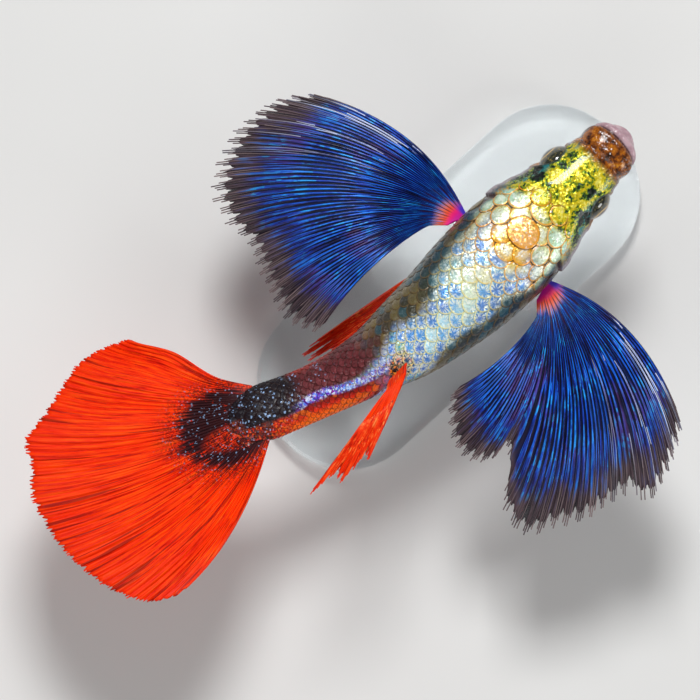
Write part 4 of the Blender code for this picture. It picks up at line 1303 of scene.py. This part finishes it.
# %% Surface of a pectoral fin
# (angle in plan, length of the ray in mm) along each margin
PECTORAL_MARGINS = {
    1: (
        (97.0, 15.2), (106.0, 17.4), (115.0, 18.7), (123.0, 19.3), (133.0, 19.3),
        (141.0, 17.9), (146.0, 16.5), (160.0, 15.8), (172.0, 15.5), (180.0, 14.2),
    ),
    -1: (
        (87.0, 15.2), (99.0, 17.5), (107.0, 18.7), (109.5, 17.4), (116.0, 17.6),
        (124.0, 18.4), (132.0, 18.7), (137.5, 19.3), (142.0, 18.6), (145.5, 16.2),
        (147.5, 12.6), (152.0, 13.9), (157.0, 14.5), (164.0, 14.3), (170.0, 13.1),
        (176.0, 11.7), (179.0, 10.8),
    ),
}
PECTORAL_BASES = {1: (0.352, 0.393, -6.0), -1: (0.322, 0.37, 186.0)}


def pectoral_surface(side):
    margin, (first, last, base_angle) = PECTORAL_MARGINS[side], PECTORAL_BASES[side]
    hub = body_at((first + last) / 2, base_angle)

    def surface(across, t):
        angle = margin[0][0] + (margin[-1][0] - margin[0][0]) * across
        length = curve_at(margin, angle)
        start = angle - 25.0 * np.clip(1 - across, 0, 1) ** 1.2 - 14.0 * across
        root = body_at(first + (last - first) * across, base_angle, 0.25)
        tip = hub + plan_direction(side * angle) * length[..., None]
        control = root + plan_direction(side * start) * (length * 0.49)[..., None]
        stem = np.stack([0 * across, side * 0.75 * across, 0 * across], -1)
        out = t * length / 18.0
        bowl = 1.3 * np.sin(math.pi * out) - 0.9 * out**2
        return raised(on_bezier(root, control, tip, stem, t), bowl + wave(across, out, 0.28, 5))

    return surface


print("pectoral margins:", [len(margin) for margin in PECTORAL_MARGINS.values()], "points")

# %% [markdown]
# ## The tail fin
# The tail fan stands upright in life. Here the stalk is rolled over, so the fan lies
# nearly flat and slopes with it. Its plan is measured as the pectorals' is, and each
# point is then lifted onto the sloping plane, with a slight cup and a bowed upper edge.

# %% Surface of the tail fin
CAUDAL_MARGIN = (
    (107.0, 11.7), (112.0, 12.8), (117.0, 13.9), (123.0, 14.9), (130.0, 15.7),
    (138.0, 17.0), (144.0, 18.5), (150.0, 18.3), (157.0, 18.9), (164.0, 18.8),
    (174.0, 18.5), (181.0, 18.2), (189.0, 17.7), (196.0, 17.1), (202.0, 15.8),
    (205.0, 14.6),
)
CAUDAL_BOW, BOW_DIRECTION = 0.8, 17.0
CAUDAL_HALF_ROOT, CAUDAL_CUP = 2.55, 0.8


def caudal_surface():
    tailward, _, back = axes_at(FLESH_END)
    middle = spine_at(FLESH_END) + tailward * 0.3
    flat_back = back * np.array([1, 1, 0])
    level_right = flat_back / np.linalg.norm(flat_back)
    tilt = back[2] / np.linalg.norm(flat_back)

    def tilted(points, origin):
        return raised(points, ((points - origin) @ level_right) * tilt)

    def surface(across, t):
        root = middle + back * (CAUDAL_HALF_ROOT * (2 * across - 1))[..., None]
        angle = CAUDAL_MARGIN[0][0] + (CAUDAL_MARGIN[-1][0] - CAUDAL_MARGIN[0][0]) * across
        length = curve_at(CAUDAL_MARGIN, angle)
        tip = tilted(middle + plan_direction(angle) * length[..., None], middle)
        start = 126.0 + 87.0 * across
        control = tilted(root + plan_direction(start) * (length * 0.5)[..., None], root)
        cup = -CAUDAL_CUP * np.sin(math.pi * t) * (2 * across - 1)
        bow = CAUDAL_BOW * ease((t - 0.15) / 0.45) * (1 - ease((t - 0.6) / 0.42))
        bow = bow * (1 - ease(across / 0.25))
        bowed = tilted(plan_direction(BOW_DIRECTION + 0 * t) * bow[..., None], 0 * middle)
        points = on_bezier(root, control, tip, 0 * root, t) + bowed
        return raised(points, cup + wave(across, t, 0.3, 6))

    return surface


print("tail margin:", len(CAUDAL_MARGIN), "points")

# %% [markdown]
# ## The small fins
# The dorsal fin is folded over to the fish's right. The pelvic fins spread under the
# belly, and the slender anal fin of a male points back. Each needs only the places of
# its root on the body and of a few tips.

# %% Surfaces of the small fins
DORSAL_TIPS = ((0.0, -14.1, -5.6), (0.35, -15.9, -5.5), (0.7, -18.1, -5.0), (1.0, -19.6, -4.3))
DORSAL_START, DORSAL_ROOT = 0.65, 0.045
PELVIC_SHARE, ANAL_START, ANAL_END = 0.455, 0.545, 0.575


def dorsal_surface():
    def surface(across, t):
        share = DORSAL_START + DORSAL_ROOT * across
        root = body_at(share, 90, 0.42)
        tip = tips_at(DORSAL_TIPS, across, root[..., 2] + 0.6)
        control = raised(root + (tip - root) * 0.3, 2.2 * (1.2 - 0.5 * across))
        _, _, back = axes_at(share)
        return raised(on_bezier(root, control, tip, back * 0.5, t), wave(across, t, 0.1, 2))

    return surface


PELVIC_TIPS = {
    1: (
        (0.0, -11.7, 4.05), (0.3, -13.0, 3.9), (0.5, -12.2, 3.5), (0.75, -12.7, 3.2),
        (1.0, -10.7, 2.3),
    ),
    -1: ((0.0, -7.0, -3.1), (0.5, -8.5, -2.3), (1.0, -7.3, -1.3)),
}


def pelvic_surface(side):
    level = body_at(PELVIC_SHARE, 270, 0.3)[2] + (0.5 if side > 0 else -0.2)

    def surface(across, t):
        root = body_at(PELVIC_SHARE, 270 + side * (34.0 - 22.0 * across), 0.6)
        tip = tips_at(PELVIC_TIPS[side], across, level)
        bow = np.stack([0 * across, side * 0.25 * (1 - across), -0.75 + 0 * across], -1)
        control = root + (tip - root) * 0.3 + bow
        return raised(on_bezier(root, control, tip, 0 * root, t), wave(across, t, 0.1, 1))

    return surface


def anal_surface():
    def surface(across, t):
        share = ANAL_START + (ANAL_END - ANAL_START) * across
        root = body_at(share, 270, 0.35)
        tailward, _, back = axes_at(share)
        end = body_at(ANAL_END, 270, 0.3)
        tip = end + tailward * 5.4 - back * (1.3 - 0.5 * across)[..., None]
        control = root + tailward * 1.35 - back * 1.7
        return on_bezier(root, control, tip, 0 * root, t)

    return surface


print("fin surfaces: pectoral, tail, dorsal, pelvic and anal")

# %% [markdown]
# ## Membranes
# The membrane is a grid on the fin's surface, folded into a small ridge over every ray.
# It ends between the rays a little before their tips, which leaves the fine fringe at
# the edge. It has two faces and a border, so it is a closed sheet with a thickness.

# %% Margins and ridges
BUNDLE_GATHER = 0.3
ROOT_DEPTH = 0.035
RAY_COLUMNS, MEMBRANE_ROWS = 16, 44


def across_normal(surface, across, t):
    """The direction out of the fin's upper face."""
    step = 0.002
    along = surface(across, t + step) - surface(across, t - step)
    sideways = surface(across + step, t) - surface(across - step, t)
    out = np.cross(along, sideways)
    out = out / np.maximum(np.linalg.norm(out, axis=-1, keepdims=True), 1e-9)
    return out * np.where(out[..., 2:] < 0, -1.0, 1.0)


def reach_at(across, lobes):
    """How far the margin reaches: pointed lobes with notches between them."""
    count, depth = lobes
    return 1 - depth * np.abs((np.asarray(across) * count + 0.5) % 1 - 0.5) * 2


def bundle_notch(across, rays, depth):
    """The branches of one ray end together in a point, with a notch between two rays."""
    return depth * (1 + np.cos(2 * math.pi * rays * np.asarray(across))) / 2


def ridges(across, rays):
    """1 over every branch of a ray and -1 halfway between two."""
    return np.cos(2 * math.pi * rays * 2 * across - math.pi)


def face_out(item):
    """Turns a closed mesh's faces outwards when its signed volume is negative."""
    bm = bmesh.new()
    bm.from_mesh(item.data)
    bmesh.ops.recalc_face_normals(bm, faces=bm.faces)
    if bm.calc_volume(signed=True) < 0:
        bmesh.ops.reverse_faces(bm, faces=bm.faces)
    bm.to_mesh(item.data)
    bm.free()


def both_sides(values):
    return np.concatenate([values.ravel(), values.ravel()])


print("margins and ridges are named")


# %% Make a membrane
def make_membrane(name, surface, rays, end, thickness, ridge, lobes, bundle, seed):
    """A thin closed sheet; it ends before the tips of the rays, most of all between them."""
    columns, rows = rays * RAY_COLUMNS + 1, MEMBRANE_ROWS
    draw = np.random.default_rng(seed)
    across, step = np.meshgrid(np.linspace(0, 1, columns), np.linspace(0, 1, rows), indexing="ij")
    fold = ridges(across, rays)
    fringe = 0.008 * (1 + np.cos(2 * math.pi * rays * 4 * across))
    notch = fringe + 0.012 * draw.random(columns)[:, None] + bundle_notch(across, rays, bundle)
    t = -ROOT_DEPTH + ((end - notch) * reach_at(across, lobes) + ROOT_DEPTH) * step
    out = across_normal(surface, across, np.clip(t, 0.02, 1))
    height = ridge * fold * ease(t / 0.25)
    middle = surface(across, t) + out * height[..., None]
    thin = 1 - 0.55 * ease((t - 0.5) / 0.5)
    half = out * (thickness * thin / 2)[..., None]
    points = np.vstack([(middle + half).reshape(-1, 3), (middle - half).reshape(-1, 3)])
    one = grid_faces(columns, rows, False)
    count = columns * rows
    border = np.concatenate([
        np.arange(rows), np.arange(1, columns) * rows + rows - 1,
        np.arange(rows - 2, -1, -1) + (columns - 1) * rows, np.arange(columns - 2, 0, -1) * rows,
    ])
    walls = np.stack([border, np.roll(border, -1), np.roll(border, -1) + count, border + count], 1)
    item = mesh_object(name, points, np.vstack([one, one[:, ::-1] + count, walls[:, ::-1]]))
    face_out(item)
    for label, values in (("across", across), ("along", t), ("fold", fold)):
        store(item, label, both_sides(values))
    u = np.concatenate([(across * 0.49).ravel(), (across * 0.49 + 0.505).ravel()])
    v = both_sides(step) * 0.98 + 0.01
    set_uv(item, "OFBake", np.stack([u, v], 1)[point_of_corner(item)])
    return item


print("membrane maker ready")

# %% [markdown]
# ## Rays
# A real ray is a chain of small bones that forks on its way out. Here each is an open
# line that forks twice, and Geometry Nodes sweep a small ring along it, thick at the
# root and fine at the tip. A few sides are enough for something so thin.

# %% The tree that sweeps the rays
sweep_rays = Flow("sweep_rays", [("Sides", "NodeSocketInt"), ("Finish", "NodeSocketMaterial")])
flow, given = sweep_rays, sweep_rays.given
thick = flow.named("thick")
line = flow.node("GeometryNodeMeshToCurve", {"Mesh": given["Geometry"]})
line = flow.node("GeometryNodeSetCurveRadius", {"Curve": line, "Radius": thick})
ring_values = {"Resolution": given["Sides"], "Radius": 1.0}
ring_line = flow.node("GeometryNodeCurvePrimitiveCircle", ring_values)
tube_values = {"Curve": line, "Profile Curve": ring_line, "Scale": thick, "Fill Caps": True}
tube = flow.node("GeometryNodeCurveToMesh", tube_values)
smooth = flow.node("GeometryNodeSetShadeSmooth", {"Geometry": tube})
real = flow.node("GeometryNodeRealizeInstances", {"Geometry": smooth})
finished = flow.node("GeometryNodeSetMaterial", {"Geometry": real, "Material": given["Finish"]})
flow.put(flow.end["Geometry"], finished)
print("ray tree:", len(sweep_rays.tree.nodes), "nodes")

# %% Lines that fork twice
RAY_ENDS = (0.978, 1.0)


def branch(parent, place, first, last, spread, steps):
    """A line along the fin that leaves its parent's place and drifts to its own."""
    t = np.linspace(first, last, steps)
    return parent + (place - parent) * ease((t - first) / spread), t


def ray_lines(rays, lobes, bundle, seed):
    """Each stem forks into two and then four, whose ends gather in a point."""
    draw = np.random.default_rng(seed)
    stems = (np.arange(rays) + 0.5) / rays
    pairs = np.sort(np.concatenate([stems - 0.25 / rays, stems + 0.25 / rays]))
    fours = np.sort(np.concatenate([pairs - 0.125 / rays, pairs + 0.125 / rays]))
    lines = [branch(stem, stem, -0.03, 0.33, 0.2, 10) for stem in stems]
    lines += [branch(*ends, 0.32, 0.62, 0.16, 10) for ends in zip(np.repeat(stems, 2), pairs)]
    for place, parent, stem in zip(fours, np.repeat(pairs, 2), np.repeat(stems, 4)):
        end = draw.uniform(*RAY_ENDS) * reach_at(place, lobes) - bundle_notch(place, rays, bundle)
        across, t = branch(parent, place, 0.61, end, 0.16, 13)
        gathered = BUNDLE_GATHER * ease((t - end + 0.2) / 0.2)
        lines.append((across + (stem - across) * gathered, t))
    return lines


def make_rays(name, surface, rays, finish, radii, lobes, bundle, seed, ridge):
    """Swept rays, thick at the root and fine at the tip, along the membrane's ridges."""
    lines = ray_lines(rays, lobes, bundle, seed)
    points, edges, along, lane, count = [], [], [], [], 0
    for across, t in lines:
        fold = ridges(across, rays) * ease(t / 0.25) * ridge
        out = across_normal(surface, across, np.clip(t, 0.02, 1))
        points.append(surface(across, t) + out * fold[:, None])
        edges += [(count + j, count + j + 1) for j in range(len(t) - 1)]
        along.append(t)
        lane.append(across)
        count += len(t)
    lines_mesh = bpy.data.meshes.new(name + "_lines")
    lines_mesh.from_pydata((np.vstack(points) * MM).tolist(), edges, [])
    lines_item = bpy.data.objects.new(name + "_lines", lines_mesh)
    bpy.context.scene.collection.objects.link(lines_item)
    along = np.concatenate(along)
    thick = (radii[0] + (radii[1] - radii[0]) * np.clip(along, 0, 1) ** 0.8) * MM
    for label, values in (("along", along), ("across", np.concatenate(lane)), ("thick", thick)):
        store(lines_item, label, values)
    made = sweep_rays.run(lines_item, name, Sides=5, Finish=finish)
    bpy.data.objects.remove(lines_item)
    print(name, len(lines), "lines,", triangles(made), "triangles")
    return made


print("ray maker ready")

# %% [markdown]
# ## Finishes of the fins
# The side fins are deep blue, nearly black between the rays, with a bright glitter that
# runs along them, a pink and orange root and a clear brown fringe. The tail, back and
# belly fins are a warm red with darker red streaks. Each finish reads where it is along
# and across the fin, so it follows the rays.

# %% Colour of the blue fins
def blue_colour(bench, dark):
    """The blue field with its purple clouds, pink root and brown edge, and how far out."""
    place = bench.place()
    along, across = map(bench.attribute, ("along", "across"))
    streaks = bench.vector(across * 110.0, along * 4.0).noise(1.0, 4.0, 0.7)
    cloud = place.noise(260.0, 2.0)
    colour = streaks.ramp([
        (0.4, (0.001, 0.003, 0.03)), (0.47, (0.002, 0.014, 0.2)), (0.54, (0.004, 0.07, 0.6)),
        (0.64, (0.012, 0.28, 1.0)),
    ])
    haze = cloud.band(0.52, 0.64) * along.between(0.35, 0.95, 0.15) * 0.45
    colour = bench.mix(haze, colour, bench.mix(streaks, (0.03, 0.004, 0.09), (0.22, 0.07, 0.2)))
    lane = bench.vector(across * 150.0, along * 34.0)
    spark, _ = lane.flecks(1.0)
    lively = place.noise(420.0, 2.0).band(0.42, 0.6)
    bright = spark.band(0.66, 0.8) * streaks.band(0.44, 0.58) * lively
    colour = bench.mix(bright, colour, (0.02, 0.42, 1.0))
    colour = bench.mix(dark, colour, (0.001, 0.001, 0.010))
    colour = bench.mix(along.band(0.55, 0.85, 0.0, 0.45), colour, (0.01, 0.004, 0.035))
    outer = along + (cloud - 0.5) * 0.2 - (streaks - 0.5) * 0.3
    edge = streaks.ramp([(0.42, (0.008, 0.004, 0.01)), (0.6, (0.09, 0.055, 0.065))])
    colour = bench.mix(outer.band(0.78, 0.9), colour, edge)
    root = along.ramp([
        (0.0, (0.62, 0.008, 0.3)), (0.018, (0.85, 0.01, 0.18)), (0.036, (0.85, 0.08, 0.03)),
        (0.08, (0.8, 0.28, 0.08)),
    ])
    spread = along + (streaks - 0.5) * 0.16
    leading = across.band(0.0, 0.3, 0.035, 0.0)
    fan = (spread + leading).band(0.045, 0.085, 1.0, 0.0)
    colour = bench.mix(fan, colour, root)
    base_spot = across.band(0.3, 0.1) * along.band(0.06, 0.01)
    colour = bench.mix(base_spot, colour, (0.06, 0.03, 0.55))
    dark_ray = bench.maths("FRACT", across * 11.0).between(0.36, 0.64, 0.08)
    dark_ray = dark_ray * along.between(0.03, 0.15, 0.015) * 0.85
    return bench.mix(dark_ray, colour, (0.03, 0.002, 0.02)), outer


print("blue colour ready")

# %% Blue finishes
blue_membrane, bench, shader = new_material(
    "blue_fin_membrane", roughness=0.42, specular_ior_level=0.25,
)
along = bench.attribute("along")
dark = bench.attribute("fold").band(0.7, -0.3) * along.between(0.08, 0.95, 0.06)
colour, outer = blue_colour(bench, dark * 0.95)
bench.put(shader["Base Color"], colour)
bench.put(shader["Alpha"], outer.band(0.86, 1.04, 1.0, 0.5))
bench.put(shader["Normal"], bench.bump(bench.place().noise(4200.0, 3.0), GRAIN, 0.6))

blue_ray, bench, shader = new_material("blue_fin_rays", roughness=0.34, specular_ior_level=0.4)
colour, outer = blue_colour(bench, 0.0)
along, across = map(bench.attribute, ("along", "across"))
thread, other = bench.vector(across * 56.0, 0.0).flecks(1.0)
sky = thread.band(0.35, 0.7) * along.between(0.12, 0.78, 0.05) * 0.55
colour = bench.mix(sky, colour, (0.015, 0.22, 0.95))
lead = across.band(0.45, 0.05) * other.band(0.55, 0.75) * along.between(0.2, 1.2, 0.08)
colour = bench.mix(lead, colour, (0.62, 0.68, 0.90))
tip = outer.band(0.76, 0.92) * 0.8
colour = bench.mix(tip, colour, bench.mix(thread, (0.05, 0.03, 0.04), (0.24, 0.17, 0.17)))
bench.put(shader["Base Color"], colour)
print("blue finishes ready")


# %% Red finishes
def red_colour(bench, speckled):
    """Warm red streaks with darker red streaks among them; speckled adds the tail's black patch."""
    along, across = map(bench.attribute, ("along", "across"))
    streaks = bench.vector(across * 150.0, along * 4.0).noise(1.0, 4.0, 0.7)
    colour = streaks.ramp([
        (0.32, (0.3, 0.002, 0.0)), (0.43, (0.78, 0.014, 0.0)), (0.54, (0.98, 0.052, 0.0)),
        (0.72, (1.0, 0.14, 0.001)),
    ])
    colour = bench.mix(along.band(0.55, 1.0, 0.0, 0.5), colour, (0.84, 0.02, 0.0))
    # Darker red streaks along the fin, from a stretched noise.
    darker_streak = bench.vector(across * 84.0, along * 1.6, 3.0).noise(1.0).band(0.59, 0.66)
    colour = bench.mix(darker_streak * 0.75, colour, (0.22, 0.002, 0.0))
    if speckled:
        fray = bench.vector(across * 60.0, along * 2.0).noise(1.0, 3.0, 0.7)
        black, spark = use_group(bench, tail_patch, Fray=fray)
        colour = bench.mix(black * 0.97, colour, PATCH_BLACK)
        colour = bench.mix(spark * 0.8, colour, (0.35, 0.55, 0.85))
    return colour, streaks


def red_finish(name, speckled, roughness):
    finish, bench, shader = new_material(name, roughness=roughness, specular_ior_level=0.12)
    colour, streaks = red_colour(bench, speckled)
    bench.put(shader["Base Color"], colour)
    bench.put(shader["Normal"], bench.bump(streaks, GRAIN, 0.5))
    return finish


tail_membrane = red_finish("tail_fin_membrane", True, 0.45)
tail_ray = red_finish("tail_fin_rays", True, 0.4)
red_membrane = red_finish("red_fin_membrane", False, 0.42)
red_ray, bench, shader = new_material("red_fin_rays", roughness=0.36, specular_ior_level=0.3)
colour, streaks = red_colour(bench, False)
inside = streaks.band(0.5, 0.62) * bench.attribute("along").band(0.7, 0.95, 1.0, 0.0)
bench.put(shader["Base Color"], bench.mix(inside, colour, (1.0, 0.30, 0.07)))
print("red finishes ready")

# %% Make every fin
BLUE = (blue_membrane, blue_ray, "blue_fin")
TAIL = (tail_membrane, tail_ray, "red_fin")
RED = (red_membrane, red_ray, "red_fin")
AMBER = (red_membrane, red_ray, "amber_fin")
# surface, rays, share where the membrane ends, its thickness and ridges in mm, the radii
# of a ray at root and tip, finishes, (number of lobes, their depth), bundle depth
FINS = {
    "pectoral_left": (
        pectoral_surface(1), 28, 0.965, 0.13, 0.07, (0.09, 0.05), BLUE, (1, 0.0), 0.026,
    ),
    "pectoral_right": (
        pectoral_surface(-1), 28, 0.965, 0.13, 0.07, (0.09, 0.05), BLUE, (1, 0.0), 0.026,
    ),
    "caudal": (caudal_surface(), 26, 1.0, 0.2, 0.08, (0.12, 0.055), TAIL, (1, 0.0), 0.006),
    "dorsal": (dorsal_surface(), 7, 0.97, 0.16, 0.07, (0.12, 0.04), RED, (2, 0.14), 0.02),
    "pelvic_left": (pelvic_surface(1), 6, 0.97, 0.16, 0.07, (0.11, 0.04), RED, (3, 0.08), 0.02),
    "pelvic_right": (pelvic_surface(-1), 6, 0.97, 0.16, 0.07, (0.11, 0.04), RED, (3, 0.08), 0.02),
    "anal": (anal_surface(), 3, 0.97, 0.2, 0.06, (0.12, 0.05), AMBER, (1, 0.0), 0.02),
}
for number, (name, facts) in enumerate(FINS.items()):
    surface, rays, end, thickness, ridge, radii, finishes, lobes, bundle = facts
    membrane_finish, ray_finish, slot = finishes
    membrane = make_membrane(
        f"{name}_membrane", surface, rays, end, thickness, ridge, lobes, bundle, number,
    )
    membrane.data.materials.append(membrane_finish)
    rays_item = make_rays(
        f"{name}_rays", surface, rays, ray_finish, radii, lobes, bundle, number, ridge,
    )
    for piece in (membrane, rays_item):
        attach(piece, BODY)
    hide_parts(f"fin_{name}")
    print(name, triangles(membrane), "triangles in the membrane")

# %% [markdown]
# ## The stand
# The stand is clear acrylic, a plate and two rods. Its solids are already right, so
# they stay and only get a better finish: clear, slightly rough, with faint hairlines
# from polishing. Light that only casts shadows passes through a plain grey tint, as
# glass would otherwise throw shadows that are too dark.

# %% Finish the stand
HAIRLINE = 0.00001
acrylic, bench, shader = new_material("clear_acrylic_finish", ior=1.49, transmission_weight=1.0)
shader["Base Color"].default_value = (0.93, 0.96, 0.97, 1.0)
haze = bench.place().noise(700.0, 3.0)
bench.put(shader["Roughness"], haze.band(0.35, 0.75, 0.02, 0.12))
bench.put(shader["Normal"], bench.bump(bench.place().noise(1800.0, 2.0), HAIRLINE, 0.2))
for name, node in frame["nodes"].items():
    if name.startswith("stand_"):
        node.data.materials.clear()
        node.data.materials.append(acrylic)
surface = Field(bench, acrylic.node_tree.nodes["Principled BSDF"].outputs[0])
path = bench.node("ShaderNodeLightPath", output="Is Shadow Ray")
clear = bench.node("ShaderNodeBsdfTransparent", {"Color": (0.42, 0.43, 0.44)})
through = bench.node("ShaderNodeMixShader", {0: path, 1: surface, 2: clear})
bench.put(acrylic.node_tree.nodes["Material Output"].inputs["Surface"], through)
print("stand finished")

# %% [markdown]
# ## Floor, light and camera
# The model stands on a plain pale floor under soft studio lights. The photo looks
# straight down on the back, so the camera hangs high above on a long lens, turned so
# that the head points to the upper right.

# %% Floor and lights
FLOOR_GAP, FLOOR_HALF = 0.03, 1500
corners = [
    (x * FLOOR_HALF, y * FLOOR_HALF, -FLOOR_GAP) for x, y in ((-1, -1), (1, -1), (1, 1), (-1, 1))
]
floor = mesh_object("floor", corners, [(0, 1, 2, 3)])
floor_finish, bench, shader = new_material("pale_floor", roughness=0.6)
wash = bench.mix(bench.place().noise(40.0, 2.0), (0.7, 0.7, 0.69), (0.74, 0.74, 0.73))
bench.put(shader["Base Color"], wash)
floor.data.materials.append(floor_finish)

world = bpy.data.worlds.new("studio")
bpy.context.scene.world = world
world.use_nodes = True
world.node_tree.nodes["Background"].inputs[0].default_value = (1.0, 1.0, 1.0, 1.0)
world.node_tree.nodes["Background"].inputs[1].default_value = 0.2


def add_light(name, spot, aim, size, power):
    data = bpy.data.lights.new(name, "AREA")
    data.size, data.energy = size, power
    item = bpy.data.objects.new(name, data)
    item.location = spot
    item.rotation_mode = "QUATERNION"
    item.rotation_quaternion = (Vector(aim) - Vector(spot)).to_track_quat("-Z", "Y")
    bpy.context.scene.collection.objects.link(item)


middle_of_fish = (-0.006, 0.0, 0.016)
add_light("key", (0.14, 0.16, 0.34), middle_of_fish, 0.10, 1.25)
add_light("fill", (-0.26, -0.12, 0.30), middle_of_fish, 0.25, 0.4)
add_light("side", (0.10, -0.30, 0.12), middle_of_fish, 0.12, 0.3)
print("three soft lights")

# %% Camera
CAMERA_HEIGHT, FIELD, SENSOR = 0.6, 0.0546, 36.0
camera_data = bpy.data.cameras.new("camera")
camera_data.sensor_width = SENSOR
camera_data.lens = SENSOR * CAMERA_HEIGHT / FIELD
camera_data.clip_start, camera_data.clip_end = 0.01, 10.0
camera = bpy.data.objects.new("camera", camera_data)
bpy.context.scene.collection.objects.link(camera)
right, above = (0.738, -0.674, 0.0), (0.674, 0.738, 0.0)
turned = Matrix((right, above, (0.0, 0.0, 1.0))).transposed().to_4x4()
turned.translation = (-0.0092, 0.0016, AXIS_HEIGHT * MM + CAMERA_HEIGHT)
camera.matrix_world = turned
bpy.context.scene.camera = camera
bpy.context.scene.view_settings.view_transform = "Standard"
print("camera with a lens of", round(camera_data.lens), "mm")
